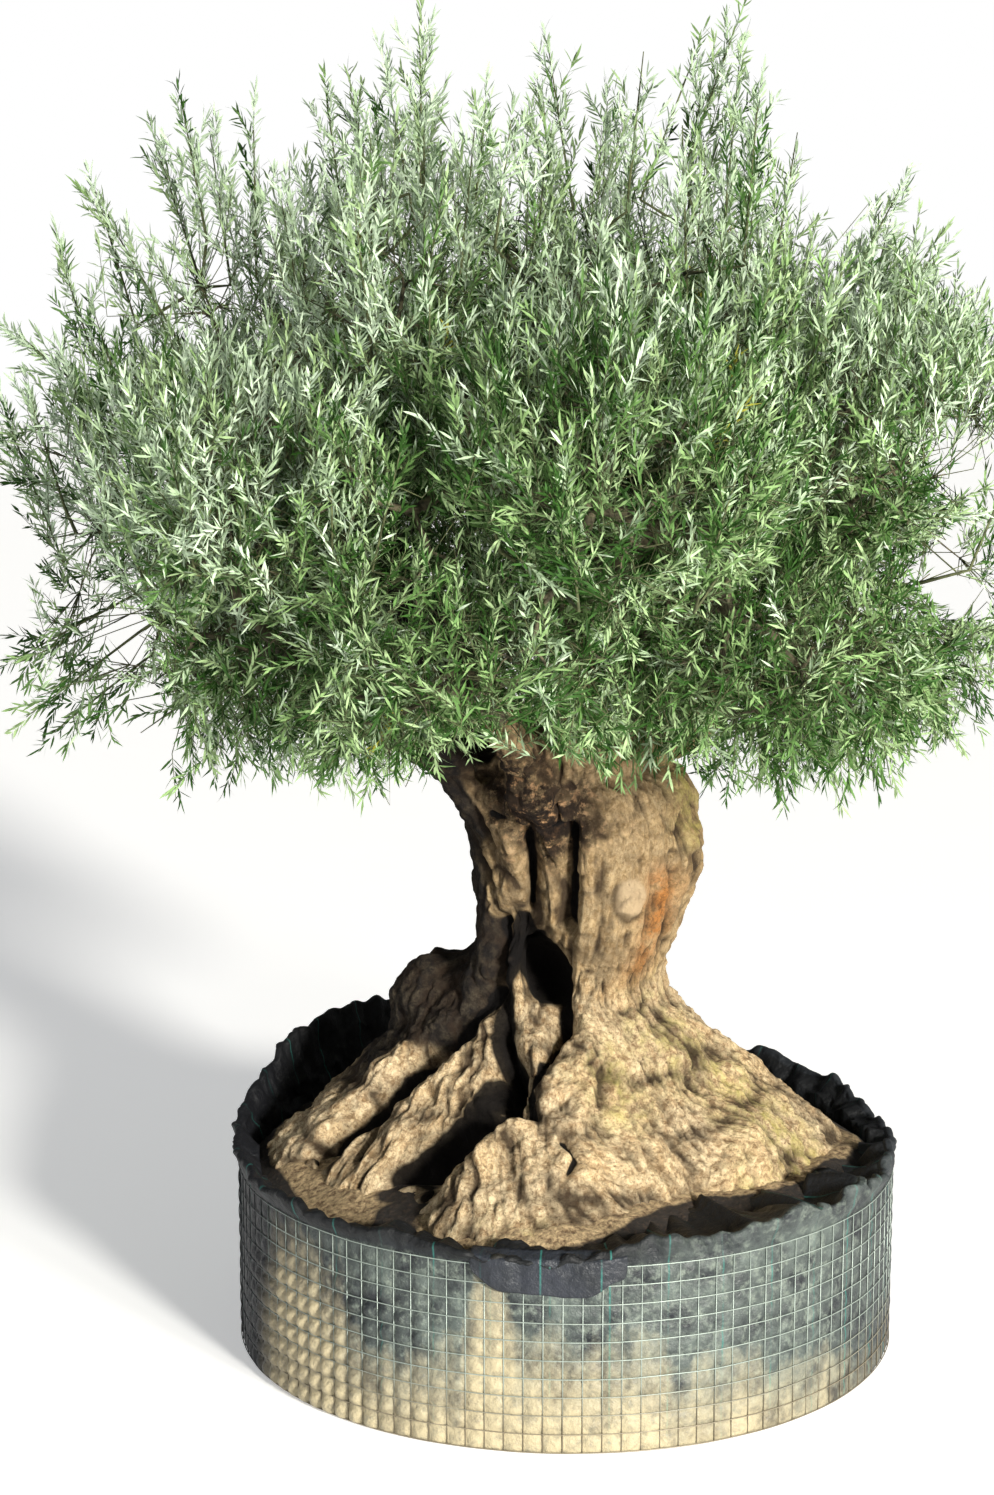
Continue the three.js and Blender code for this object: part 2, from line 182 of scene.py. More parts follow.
def lay_cloth(piece, cloth):
    """Keeps the flat place of each point of a cloth, in metres, as the piece's UV map."""
    corner = np.empty(len(piece.data.loops), np.int32)
    piece.data.loops.foreach_get("vertex_index", corner)
    piece.data.uv_layers[0].data.foreach_set("uv", cloth[corner].astype(np.float32).ravel())


def place(piece, paint, slot, *nodes):
    """Gives a finished piece its material and the CAD nodes that it stands for. The slot is not used."""
    piece.data.materials.clear()
    piece.data.materials.append(paint.material)
    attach(piece, "root")
    if nodes:
        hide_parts(*nodes)


def unit(vectors):
    lengths = np.linalg.norm(vectors, axis=-1, keepdims=True)
    return vectors / np.maximum(lengths, 1e-9)


def ease(value, low, high):
    """0 below low, 1 above high and a smooth step between them."""
    share = np.clip((value - low) / (high - low), 0, 1)
    return share * share * (3 - 2 * share)


def bell(value, width):
    """1 at 0, fading out over the width."""
    return np.exp(-((value / width) ** 2))


def lumps(points, size, seed):
    """Smooth, repeatable unevenness between -1 and 1, with lumps of about the given size."""
    spread = np.asarray(points) / size + 101.3
    cell = np.floor(spread).astype(np.int64)
    share = spread - cell
    share = share * share * (3 - 2 * share)
    total = np.zeros(len(spread))
    for corner in range(8):
        step = np.array([corner & 1, corner >> 1 & 1, corner >> 2 & 1])
        x, y, z = (cell + step).T
        mixed = (x * 73856093) ^ (y * 19349663) ^ (z * 83492791) ^ (seed * 26544357)
        mixed = (mixed ^ (mixed >> 13)) * 1274126177
        mixed = (mixed ^ (mixed >> 16)) & 0xFFFF
        weight = np.prod(np.where(step, share, 1 - share), axis=1)
        total += weight * (mixed / 32767.5 - 1)
    return total


def distance_to_line(points, line):
    """The distance from each point to a line of straight stretches."""
    nearest = np.full(len(points), 1e9)
    corners = np.array(line, float)
    for start, end in zip(corners[:-1], corners[1:]):
        along = end - start
        share = np.clip((points - start) @ along / (along @ along), 0, 1)
        away = np.linalg.norm(points - start - share[:, None] * along, axis=1)
        nearest = np.minimum(nearest, away)
    return nearest


def on_line(points, line, width):
    """1 on a line of straight stretches, fading out over the width."""
    return bell(distance_to_line(points, line) / width, 1.0)


def compass(points):
    """The angle of each point round the middle, in degrees from +X towards +Y."""
    return np.degrees(np.arctan2(points[:, 1], points[:, 0]))


# ---- material helpers ----


class Paint:
    """A material, with short ways to add nodes to it."""

    def __init__(self, name, roughness, **values):
        self.material = bpy.data.materials.new(name)
        self.material.use_nodes = True
        self.tree = self.material.node_tree
        self.shader = self.tree.nodes["Principled BSDF"].inputs
        self.shader["Roughness"].default_value = roughness
        for socket, value in values.items():
            self.shader[socket.replace("_", " ")].default_value = value
        self.where = self.node("TexCoord").outputs["Object"]

    def node(self, kind, values=None, links=None, **settings):
        node = self.tree.nodes.new("ShaderNode" + kind)
        for key, value in settings.items():
            setattr(node, key, value)
        for socket, value in (values or {}).items():
            node.inputs[socket].default_value = value
        for socket, source in (links or {}).items():
            self.tree.links.new(source, node.inputs[socket])
        return node

    def attribute(self, name, output="Fac"):
        return self.node("Attribute", attribute_name=name).outputs[output]

    def noise(self, scale, detail=3, rough=0.55, place=None):
        values = {"Scale": scale, "Detail": detail, "Roughness": rough}
        return self.node("TexNoise", values, {"Vector": place or self.where}).outputs["Fac"]

    def spread(self, factor, low, high, to_low=0.0, to_high=1.0):
        """Stretches a factor so that low to high becomes to_low to to_high."""
        values = {"From Min": low, "From Max": high, "To Min": to_low, "To Max": to_high}
        return self.node("MapRange", values, {"Value": factor}).outputs["Result"]

    def fill(self, sockets, sources):
        """Fills sockets with plain numbers or colours, or links them to other nodes' outputs."""
        for socket, source in zip(sockets, sources):
            if isinstance(source, bpy.types.NodeSocket):
                self.tree.links.new(source, socket)
            elif isinstance(source, (int, float)):
                socket.default_value = source
            else:
                socket.default_value = (*source, 1)

    def calculate(self, operation, first, second):
        node = self.node("Math", operation=operation)
        self.fill(node.inputs, (first, second))
        return node.outputs["Value"]

    def times(self, first, second):
        return self.calculate("MULTIPLY", first, second)

    def parts_of(self, vector):
        """The X, Y and Z of a vector, each as an output of its own."""
        return self.node("SeparateXYZ", None, {"Vector": vector}).outputs

    def blend(self, factor, first, second):
        """Mixes two colours, each one a plain colour or another node's output."""
        node = self.node("Mix", data_type="RGBA")
        self.fill((node.inputs["Factor"], node.inputs[6], node.inputs[7]), (factor, first, second))
        return node.outputs[2]

    def lay_over(self, colour, *layers):
        """Lays more colours over a colour: each layer is its share and its colour."""
        for share, over in layers:
            colour = self.blend(share, colour, over)
        return colour

    def wire_up(self, socket, source):
        self.tree.links.new(source, self.shader[socket])

    def roughen(self, *heights):
        """Chains bumps, each one a factor, a strength and a distance."""
        links = {}
        for factor, strength, distance in heights:
            values = {"Strength": strength, "Distance": distance}
            bump = self.node("Bump", values, {"Height": factor, **links})
            links = {"Normal": bump.outputs["Normal"]}
        self.wire_up("Normal", links["Normal"])


def tone(red, green, blue):
    """A screen colour from 0 to 255 as the plain light values that a shader takes."""
    parts = []
    for part in (red, green, blue):
        share = part / 255
        parts.append(share / 12.92 if share <= 0.04045 else ((share + 0.055) / 1.055) ** 2.4)
    return tuple(parts)


# ---- camera, light and floor ----

CAMERA_PLACE = (-0.19, -8.0, 3.2)
CAMERA_TILT = 79  # degrees up from straight down
CAMERA_LENS = 72.2  # millimetres, on a film 36 mm high

KEY_PLACE = (4.5, -7.4, 4.1)
KEY_STRENGTH = 4.6
KEY_SPREAD = 7  # degrees across, which keeps its shadows soft
LOW_KEY_PLACE = (3.5, -5.7, 1.7)
LOW_KEY_SIZE = 0.8
LOW_KEY_POWER = 430
FILL_PLACE = (-6.5, -5.0, 3.6)
FILL_STRENGTH = 0.7
FILL_SPREAD = 35
LIGHT_AIM = (0, 0, 1.3)
WARM = (1.0, 0.97, 0.9)
COOL = (0.94, 0.97, 1.0)
SKY_SHOWN = 1.0
SKY_GIVEN = 0.205
FLOOR_SIZE = 60
FLOOR_GLOW = 0.33


def add_camera():
    lens = bpy.data.cameras.new("front_view")
    lens.lens = CAMERA_LENS
    lens.sensor_width = 36
    camera = bpy.data.objects.new("front_view", lens)
    camera.location = CAMERA_PLACE
    camera.rotation_euler = (math.radians(CAMERA_TILT), 0, 0)
    bpy.context.scene.collection.objects.link(camera)
    bpy.context.scene.camera = camera


def add_light(name, kind, where, power, colour):
    lamp = bpy.data.lights.new(name, kind)
    lamp.energy = power
    lamp.color = colour
    light = bpy.data.objects.new(name, lamp)
    light.location = where
    aim = Vector(LIGHT_AIM) - Vector(where)
    light.rotation_euler = aim.to_track_quat("-Z", "Y").to_euler()
    bpy.context.scene.collection.objects.link(light)
    return lamp


def add_sky():
    """An even white all round, which gives much less light than it shows."""
    world = bpy.data.worlds.new("studio")
    world.use_nodes = True
    tree = world.node_tree
    shown = tree.nodes["Background"]
    shown.inputs["Color"].default_value = (1, 1, 1, 1)
    shown.inputs["Strength"].default_value = SKY_SHOWN
    given = tree.nodes.new("ShaderNodeBackground")
    given.inputs["Color"].default_value = (0.96, 0.98, 1, 1)
    given.inputs["Strength"].default_value = SKY_GIVEN
    seen = tree.nodes.new("ShaderNodeLightPath")
    either = tree.nodes.new("ShaderNodeMixShader")
    tree.links.new(seen.outputs["Is Camera Ray"], either.inputs["Fac"])
    tree.links.new(given.outputs["Background"], either.inputs[1])
    tree.links.new(shown.outputs["Background"], either.inputs[2])
    tree.links.new(either.outputs["Shader"], tree.nodes["World Output"].inputs["Surface"])
    bpy.context.scene.world = world


def add_studio():
    add_sky()
    key = add_light("key", "SUN", KEY_PLACE, KEY_STRENGTH, WARM)
    key.angle = math.radians(KEY_SPREAD)
    low_key = add_light("low_key", "AREA", LOW_KEY_PLACE, LOW_KEY_POWER, WARM)
    low_key.shape = "DISK"
    low_key.size = LOW_KEY_SIZE
    fill = add_light("fill", "SUN", FILL_PLACE, FILL_STRENGTH, COOL)
    fill.angle = math.radians(FILL_SPREAD)
    leave_nothing_selected()
    bpy.ops.mesh.primitive_plane_add(size=FLOOR_SIZE, location=(0, 0, -0.001))
    floor = name_piece("floor")
    paint = Paint("pale_floor", 0.9)
    speckle = paint.noise(3.0)
    grey = paint.blend(speckle, (0.93, 0.93, 0.93), (0.96, 0.96, 0.96))
    paint.wire_up("Base Color", grey)
    paint.shader["Emission Color"].default_value = (1, 1, 1, 1)
    paint.shader["Emission Strength"].default_value = FLOOR_GLOW
    floor.data.materials.append(paint.material)
    bpy.context.scene.view_settings.view_transform = "Standard"


# ---- earth ----

EARTH_SIDES = 200
EARTH_RINGS = 44
RING_WIDTH = 0.0195
BANK_HEIGHT = 0.050  # the earth stands this much higher against the trunk
CLOD_HEIGHT = 0.034
CRUMB_HEIGHT = 0.020
# Painted shadow of the widest gully on the earth at its foot: the line it follows, and its half width.
GULLY_SHADOW_ON_EARTH = ([(-0.39, -0.34, 0.50), (-0.41, -0.44, 0.49), (-0.44, -0.58, 0.48)], 0.080)


def earth_material():
    earth = Paint("moist_earth", 0.95)
    crumbs = earth.noise(60, 6, 0.7)
    patches = earth.noise(7)
    dark = earth.blend(patches, tone(26, 23, 20), tone(50, 39, 29))
    colour = earth.blend(earth.spread(crumbs, 0.5, 0.8), dark, tone(88, 68, 50))
    lit = earth.spread(crumbs, 0.36, 0.62)
    tan = earth.blend(lit, tone(112, 86, 58), tone(222, 194, 148))
    uneven = earth.times(patches, 0.5)
    # Tan where the earth is dry and lit; elsewhere it stays dark, partly moist earth and partly painted
    # shade by the rim and in the gully.
    dry_and_lit = earth.spread(earth.calculate("ADD", earth.attribute("dry_and_lit"), uneven), 0.6, 0.85)
    earth.wire_up("Base Color", earth.blend(dry_and_lit, colour, tan))
    earth.roughen((crumbs, 1.0, 0.05))
    return earth


def foot_reach(angle):
    """How far out the foot of the root flare stands at an angle."""
    points = points_of(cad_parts["trunk"].data)
    low = points[points[:, 2] < EARTH_TOP + 0.02]
    at = np.arctan2(low[:, 1], low[:, 0])
    order = np.argsort(at)
    return np.interp(angle, at[order], np.hypot(low[order, 0], low[order, 1]), period=TURN)


def make_earth():
    """The ball of earth: a plain side under the lining, and a crumbly top that rises to the trunk."""
    leave_nothing_selected()
    middle = (0, 0, EARTH_TOP / 2)
    bpy.ops.mesh.primitive_cylinder_add(
        vertices=EARTH_SIDES, radius=EARTH_RADIUS, depth=EARTH_TOP, location=middle
    )
    earth = name_piece("earth_ball")

    def cut_rings():
        bpy.ops.mesh.select_all(action="DESELECT")
        bpy.ops.object.mode_set(mode="OBJECT")
        for face in earth.data.polygons:
            face.select = face.normal.z > 0.9
        bpy.ops.object.mode_set(mode="EDIT")
        bpy.ops.mesh.inset(thickness=0.004)
        for _ in range(EARTH_RINGS):
            bpy.ops.mesh.inset(thickness=RING_WIDTH)
        bpy.ops.mesh.poke()

    in_edit_mode(earth, cut_rings)
    points = points_of(earth.data)
    reach = np.hypot(points[:, 0], points[:, 1])
    angle = np.arctan2(points[:, 1], points[:, 0])
    on_top = (points[:, 2] > EARTH_TOP - 0.001) & (reach < EARTH_RADIUS - 0.002)
    foot = foot_reach(angle)
    bank = ease((EARTH_RADIUS - reach) / (EARTH_RADIUS - foot), 0.1, 1.0)
    clods = 0.5 + 0.5 * lumps(points, 0.11, 3)
    crumbs = 0.5 + 0.5 * lumps(points, 0.035, 4)
    uneven = (0.2 + 0.8 * bank) * (CLOD_HEIGHT * clods + CRUMB_HEIGHT * crumbs)
    points[:, 2] += np.where(on_top, BANK_HEIGHT * bank + uneven, 0)
    move_points(earth.data, points)
    # Tan earth reaches the rim on the sunlit front left; elsewhere the dark earth by the rim is painted
    # shade under the rim as well as moist earth.
    sunny = bell(np.degrees(angle) + 128, 40)
    edge = foot + 0.01 + (EARTH_RADIUS - 0.04 - foot) * sunny
    # The gully's painted shadow darkens the earth along this line.
    line, width = GULLY_SHADOW_ON_EARTH
    dark = on_line(points, line, width * (1 + 0.4 * lumps(points, 0.05, 6)))
    store_values(earth.data, "dry_and_lit", ease(reach, edge + 0.03, edge - 0.02) * (1 - 1.6 * dark))
    smooth(earth)
    place(earth, earth_material(), "earth", "root_ball")


# ---- woven lining ----

# How high the rim of the lining stands at some angles, in degrees from +X towards +Y.
RIM_ANGLES = (0, 20, 45, 70, 100, 116, 135, 148, 158, 168, 176, 190, 215, 250, 267, 290, 325, 345, 360)
RIM_HEIGHTS = (0.52, 0.55, 0.57, 0.57, 0.62, 0.70, 0.72, 0.70, 0.64, 0.60, 0.555, 0.550, 0.538, 0.522,
               0.510, 0.545, 0.56, 0.55, 0.52)
WALL_RADIUS = CAGE_RADIUS - 0.0065
WALL_FOOT = 0.003
RIM_LEAN = 0.012  # the rim leans out by this much over the wall
ROLL_RADIUS = 0.011  # the rim is folded inwards, not cut off sharp
STEPS_A_SQUARE = 6
WALL_ROWS = 60
RIM_ROWS = 12
ROLL_ROWS = 6
INSIDE_ROWS = 16
PEAKED_AT = 318  # degrees: the part of the rim that stands in small peaks
FLAP_TOP = 0.535
FLAP_MIDDLE = -94  # degrees
FLAP_WIDTH = 25  # degrees
FLAP_EDGE = 0.034  # how far it hangs at its two ends
FLAP_TONGUE = 0.080  # how much further it hangs in the middle
CLOTH_THICKNESS = 0.0015


def pillow_depth(angle, height):
    """How far the lining swells out through the squares of the wire, strongest at the lower left."""
    strong = bell(np.degrees(angle) - 220, 26) * ease(height, 0.46, 0.30)
    patches = 0.5 + 0.5 * lumps(np.stack([9 * angle, 12 * height, 0 * angle], 1), 1.0, 12)
    tight = 1 - bell(np.degrees(angle) - 187, 12)
    return (0.0028 + 0.0045 * patches + 0.014 * strong) * tight


def lining_section(angle, rim):
    """The lining's section at every angle: radius and height at each row, foot to foot."""
    gap = WALL_RADIUS + RIM_LEAN - 2 * ROLL_RADIUS - foot_reach(angle)
    tuck = 0.045 + (0.92 * gap - 0.045) * bell(np.degrees(angle) - 315, 46)
    rows = []

    def add_row(radius, height, loose):
        rows.append((radius + 0 * angle, height + 0 * angle, loose))

    for row in range(WALL_ROWS + 1):
        height = WALL_FOOT + (CAGE_TOP - 0.004 - WALL_FOOT) * row / WALL_ROWS
        square = np.abs(np.sin(math.pi * SQUARES_HIGH * height / CAGE_TOP))
        column = np.abs(np.sin(angle * SQUARES_ROUND / 2))
        puff = (square * column) ** 0.8 * pillow_depth(angle, np.full_like(angle, height))
        add_row(WALL_RADIUS + puff, height, 0.0)
    top = rows[-1][1]
    for row in range(1, RIM_ROWS + 1):
        share = row / RIM_ROWS
        add_row(WALL_RADIUS + RIM_LEAN * share, top + (rim - top) * share, share)
    for row in range(1, ROLL_ROWS + 1):
        turn = math.pi * row / (ROLL_ROWS + 1)
        radius = WALL_RADIUS + RIM_LEAN - ROLL_RADIUS * (1 - math.cos(turn))
        add_row(radius, rim + ROLL_RADIUS * math.sin(turn), 1.0)
    for row in range(INSIDE_ROWS + 1):
        share = row / INSIDE_ROWS
        inside = WALL_RADIUS + RIM_LEAN - 2 * ROLL_RADIUS - tuck * share
        add_row(inside, rim + (EARTH_TOP + 0.040 - rim) * share, 1.0 + 0.7 * share)
    add_row(inside - 0.002, EARTH_TOP - 0.03, 0.2)
    add_row(EARTH_RADIUS + 0.0012, EARTH_TOP - 0.03, 0.0)
    add_row(EARTH_RADIUS + 0.0012, WALL_FOOT, 0.0)
    return rows


def make_lining():
    """One closed band of woven plastic: puffed wall, crumpled rim, and its inside down to the earth."""
    columns = SQUARES_ROUND * STEPS_A_SQUARE
    angle = TURN * np.arange(columns + 1) / columns
    around = np.stack([np.cos(angle), np.sin(angle), 0 * angle], 1)
    rim = np.interp(np.degrees(angle), RIM_ANGLES, RIM_HEIGHTS)
    rim = rim + 0.015 * lumps(around, 0.16, 21) + 0.012 * lumps(around, 0.045, 22)
    rows = lining_section(angle, rim)
    rows.append(rows[0])
    leave_nothing_selected()
    bpy.ops.mesh.primitive_grid_add(x_subdivisions=columns, y_subdivisions=len(rows) - 1, size=1)
    lining = name_piece("woven_lining")
    flat = points_of(lining.data)
    column = np.rint((flat[:, 0] + 0.5) * columns).astype(int)
    row = np.rint((flat[:, 1] + 0.5) * (len(rows) - 1)).astype(int)
    radius = np.stack([part[0] for part in rows])[row, column]
    height = np.stack([part[1] for part in rows])[row, column]
    loose = np.array([part[2] for part in rows])[row]
    first_rows = ease(row, WALL_ROWS + 4, WALL_ROWS)
    turned = around[column]
    spot = np.stack([turned[:, 0], turned[:, 1], height], 1)
    folds = np.abs(lumps(spot * (1, 1, 0.5), 0.055, 25)) + 0.6 * np.abs(lumps(spot, 0.028, 26))
    sway = lumps(spot, 0.2, 27)
    wall = 0.0015 * lumps(spot * (1, 1, 0.6), 0.11, 28) + 0.0014 * lumps(spot, 0.03, 36)
    peaked = bell(np.degrees(angle[column]) - PEAKED_AT, 40)
    peaks = peaked * lumps(spot * (1, 1, 0.4), 0.033, 37)
    radius = radius + loose * (0.016 * folds + 0.014 * sway + 0.019 * peaks - 0.004)
    radius = radius + (1 - loose) * wall * (height > 0.01)
    points = np.stack([radius * turned[:, 0], radius * turned[:, 1], height], 1)
    crumple = 0.014 * lumps(spot, 0.05, 29) + 0.022 * np.abs(lumps(spot, 0.085, 30))
    points[:, 2] += loose * (1 - first_rows) * crumple * (1 + peaked)
    move_points(lining.data, points)
    store_values(lining.data, "rim", np.clip(loose, 0, 1))
    store_values(lining.data, "inside", ease(loose, 1.0, 1.1))
    lay_cloth(lining, np.stack([angle[column] * WALL_RADIUS, height], 1))

    def close_seams():
        bpy.ops.mesh.remove_doubles(threshold=0.00005)
        bpy.ops.mesh.normals_make_consistent(inside=False)

    in_edit_mode(lining, close_seams)
    smooth(lining)
    place(lining, lining_material("woven_lining", True), "woven_plastic", "fabric_wrap")


def make_flap():
    """A tongue of the lining that hangs over the top wire at the front."""
    leave_nothing_selected()
    bpy.ops.mesh.primitive_grid_add(x_subdivisions=60, y_subdivisions=26, size=1)
    flap = name_piece("lining_flap")
    flat = points_of(flap.data)
    angle = np.radians(FLAP_MIDDLE + FLAP_WIDTH * flat[:, 0])
    down = 0.5 - flat[:, 1]
    turned = np.stack([np.cos(angle), np.sin(angle), 0 * angle], 1)
    tongue = (1 - (2 * flat[:, 0]) ** 2) ** 0.5
    height = FLAP_TOP - down * (FLAP_EDGE + FLAP_TONGUE * tongue + 0.022 * lumps(turned, 0.06, 33))
    spot = np.stack([turned[:, 0], turned[:, 1], height], 1)
    folds = 0.008 * lumps(spot, 0.09, 34) + 0.006 * lumps(spot * (1, 1, 0.5), 0.035, 35)
    tucked = ease(down, 0.22, 0.0)
    radius = CAGE_RADIUS + 0.009 + folds * (1 - tucked) - 0.040 * tucked**2
    move_points(flap.data, np.stack([radius * turned[:, 0], radius * turned[:, 1], height], 1))
    lay_cloth(flap, np.stack([angle * WALL_RADIUS, height], 1))
    apply_modifier(flap, "SOLIDIFY", thickness=CLOTH_THICKNESS, offset=0)
    smooth(flap)
    place(flap, lining_material("folded_lining", False), "woven_plastic", "fabric_wrap")


def lining_material(name, dusty):
    cloth = Paint(name, 0.42, Specular_IOR_Level=0.3)
    flat = cloth.node("UVMap").outputs["UV"]
    tape = {"Scale": 1.0, "Brick Width": 0.009, "Row Height": 0.0025, "Mortar Size": 0.0003}
    weave = cloth.node("TexBrick", tape, {"Vector": flat}).outputs["Fac"]
    mottle = cloth.noise(9, 5, 0.65)
    grime = cloth.noise(38, 5, 0.7)
    creases = cloth.noise(26, 4, 0.62)
    at = cloth.parts_of(cloth.where)
    rim = cloth.attribute("rim")
    inside = cloth.attribute("inside")
    # Paler cloth on the front below the rim and on the right of the rim, but not on the far-left strip:
    # partly sun-faded cloth, partly painted light where the light falls.
    to_right = cloth.spread(at["X"], 0.1, 0.45, 0.12, 0.8)
    below_rim = cloth.calculate("MAXIMUM", cloth.spread(rim, 0.0, 0.35, 1.0, 0.0), to_right)
    below_rim = cloth.times(below_rim, cloth.spread(inside, 0.0, 1.0, 1.0, 0.0))
    front = cloth.spread(at["Y"], -0.20, -0.62)
    exposed_and_lit = cloth.times(cloth.times(front, below_rim), cloth.spread(at["X"], -0.80, -0.45))
    faded = cloth.times(cloth.spread(mottle, 0.35, 0.68), exposed_and_lit)
    pale = tone(90, 99, 94) if dusty else tone(43, 46, 54)
    colour = cloth.blend(faded, tone(30, 33, 37), pale)
    if dusty:
        powder = cloth.times(cloth.spread(grime, 0.5, 0.75), exposed_and_lit)
        # Painted shade: the rim on the left and the lining's inside go near black, and so does the far-left
        # strip of the wall.
        shaded = cloth.calculate("MAXIMUM", inside, cloth.spread(to_right, 0.6, 0.12))
        shaded = cloth.times(cloth.times(shaded, rim), 0.9)
        far_left_cloth_shade = cloth.spread(at["X"], -0.79, -0.84, 0, 0.85)
        shadows = ((shaded, tone(12, 13, 15)), (far_left_cloth_shade, tone(14, 15, 20)))
        colour = cloth.lay_over(colour, (powder, tone(116, 125, 115)), *shadows)
    colour = cloth.lay_over(colour, (marker_threads(cloth, flat), tone(44, 108, 100)))
    if dusty:
        settled = dust(cloth, at, mottle, grime)
        colour = cloth.lay_over(colour, (cloth.times(settled, below_rim), tone(168, 156, 126)))
    cloth.wire_up("Base Color", colour)
    gloss = cloth.spread(grime, 0.3, 0.8, 0.36, 0.62)
    cloth.wire_up("Roughness", cloth.calculate("ADD", gloss, cloth.times(rim, 0.15)))
    cloth.roughen((weave, 0.25, 0.001), (grime, 0.25, 0.004), (creases, 0.6, 0.02))
    return cloth


def marker_threads(cloth, flat):
    """Thin blue-green threads that run up the cloth every 150 mm, worn away in places."""
    place_in_gap = cloth.calculate("PINGPONG", cloth.parts_of(flat)["X"], 0.075)
    thread = cloth.calculate("LESS_THAN", place_in_gap, 0.0022)
    return cloth.times(thread, cloth.spread(cloth.noise(7, place=flat), 0.42, 0.62, 0.05, 0.7))


def dust(cloth, at, mottle, grime):
    """Where pale ochre dust lies: thick at the foot of the front and on the left, streaked above."""
    tall = cloth.node("Mapping", {"Scale": (1, 1, 0.12)}, {"Vector": cloth.where})
    streak = cloth.noise(11, 3, 0.6, tall.outputs["Vector"])
    broad = cloth.noise(2.6, 2)

    def away_from(x):
        return cloth.calculate("ABSOLUTE", cloth.calculate("ADD", at["X"], -x), 0.0)

    level = at["Z"]
    for part in (
        cloth.times(mottle, -0.34),
        cloth.times(streak, -0.34),
        cloth.times(broad, -0.30),
        cloth.times(away_from(-0.12), 0.23),
        cloth.spread(at["X"], -0.52, -0.68, 0, -0.28),
        cloth.spread(away_from(-0.21), 0.075, 0.03, 0, -0.22),
    ):
        level = cloth.calculate("ADD", level, part)
    settled = cloth.spread(level, -0.15, -0.40, 0, 0.93)
    front = cloth.spread(at["Y"], -0.26, -0.55)
    front = cloth.times(front, cloth.spread(at["X"], -0.84, -0.78))
    worn = cloth.spread(grime, 0.30, 0.52, 0.45, 1.0)
    return cloth.times(cloth.times(settled, front), worn)


# ---- welded wire ----


def make_cage():
    """Upright wires and hoops, welded where they cross."""
    leave_nothing_selected()
    tall = CAGE_TOP - CAGE_LOW.z
    middle = (CAGE_RADIUS - 1.4 * WIRE, 0, CAGE_LOW.z + tall / 2)
    bpy.ops.mesh.primitive_cylinder_add(vertices=6, radius=WIRE / 2, depth=tall, location=middle)
    cage = name_piece("welded_wire")

    def carry_round():
        more = SQUARES_ROUND - 1
        last = TURN * more / SQUARES_ROUND
        bpy.ops.mesh.spin(steps=more, dupli=True, angle=last, center=(0, 0, 0), axis=(0, 0, 1))

    in_edit_mode(cage, carry_round)
    hoops = []
    for row in range(SQUARES_HIGH + 1):
        leave_nothing_selected()
        bpy.ops.mesh.primitive_torus_add(
            major_segments=SQUARES_ROUND * 2,
            minor_segments=6,
            major_radius=CAGE_RADIUS - 0.6 * WIRE,
            minor_radius=WIRE / 2,
            location=(0, 0, CAGE_LOW.z + WIRE / 2 + (tall - WIRE) * row / SQUARES_HIGH),
        )
        hoops.append(name_piece(f"hoop_{row}"))
    join_pieces([cage, *hoops])
    points = points_of(cage.data)
    outward = unit(points * (1, 1, 0))
    points += outward * (WIRE_SWAY * lumps(points, 0.09, 41))[:, None]
    points[:, 2] += WIRE_SAG * lumps(points, 0.13, 42) * ease(points[:, 2], 0.01, 0.08)
    move_points(cage.data, points)
    smooth(cage)
    place(cage, wire_material(), "galvanised_wire", "wire_cage")


def wire_material():
    zinc = Paint("galvanised_wire", 0.45, Metallic=0.3)
    spots = zinc.noise(45, 4)
    at = zinc.parts_of(zinc.where)
    grey = zinc.blend(spots, tone(112, 124, 118), tone(166, 176, 168))
    muddy = zinc.spread(at["Z"], 0.20, 0.07, 0, 0.75)
    # The wires on the far-left strip are painted dark as shade.
    far_left_wire_shade = zinc.spread(at["X"], -0.77, -0.83, 0, 0.95)
    grey = zinc.lay_over(grey, (muddy, tone(122, 104, 78)), (far_left_wire_shade, tone(40, 43, 46)))
    zinc.wire_up("Base Color", grey)
    zinc.roughen((spots, 0.15, 0.001))
    return zinc


# ---- trunk and boughs ----

GRAIN_TWIST = 0.5  # radians that the grain turns over each metre of height
BARK_STEP = 0.0066
ROUNDING = 2  # how often the faceted trunk and boughs are subdivided
ROUNDING_LOSS = 0.004  # thickness that rounding takes from them
CROTCH_SIZE = (0.275, 0.25, 0.17)  # half widths of the swelling that the boughs fork from
FLARE_TOP = 0.92  # the bark is made as a root flare, a stem and boughs, which join without a step

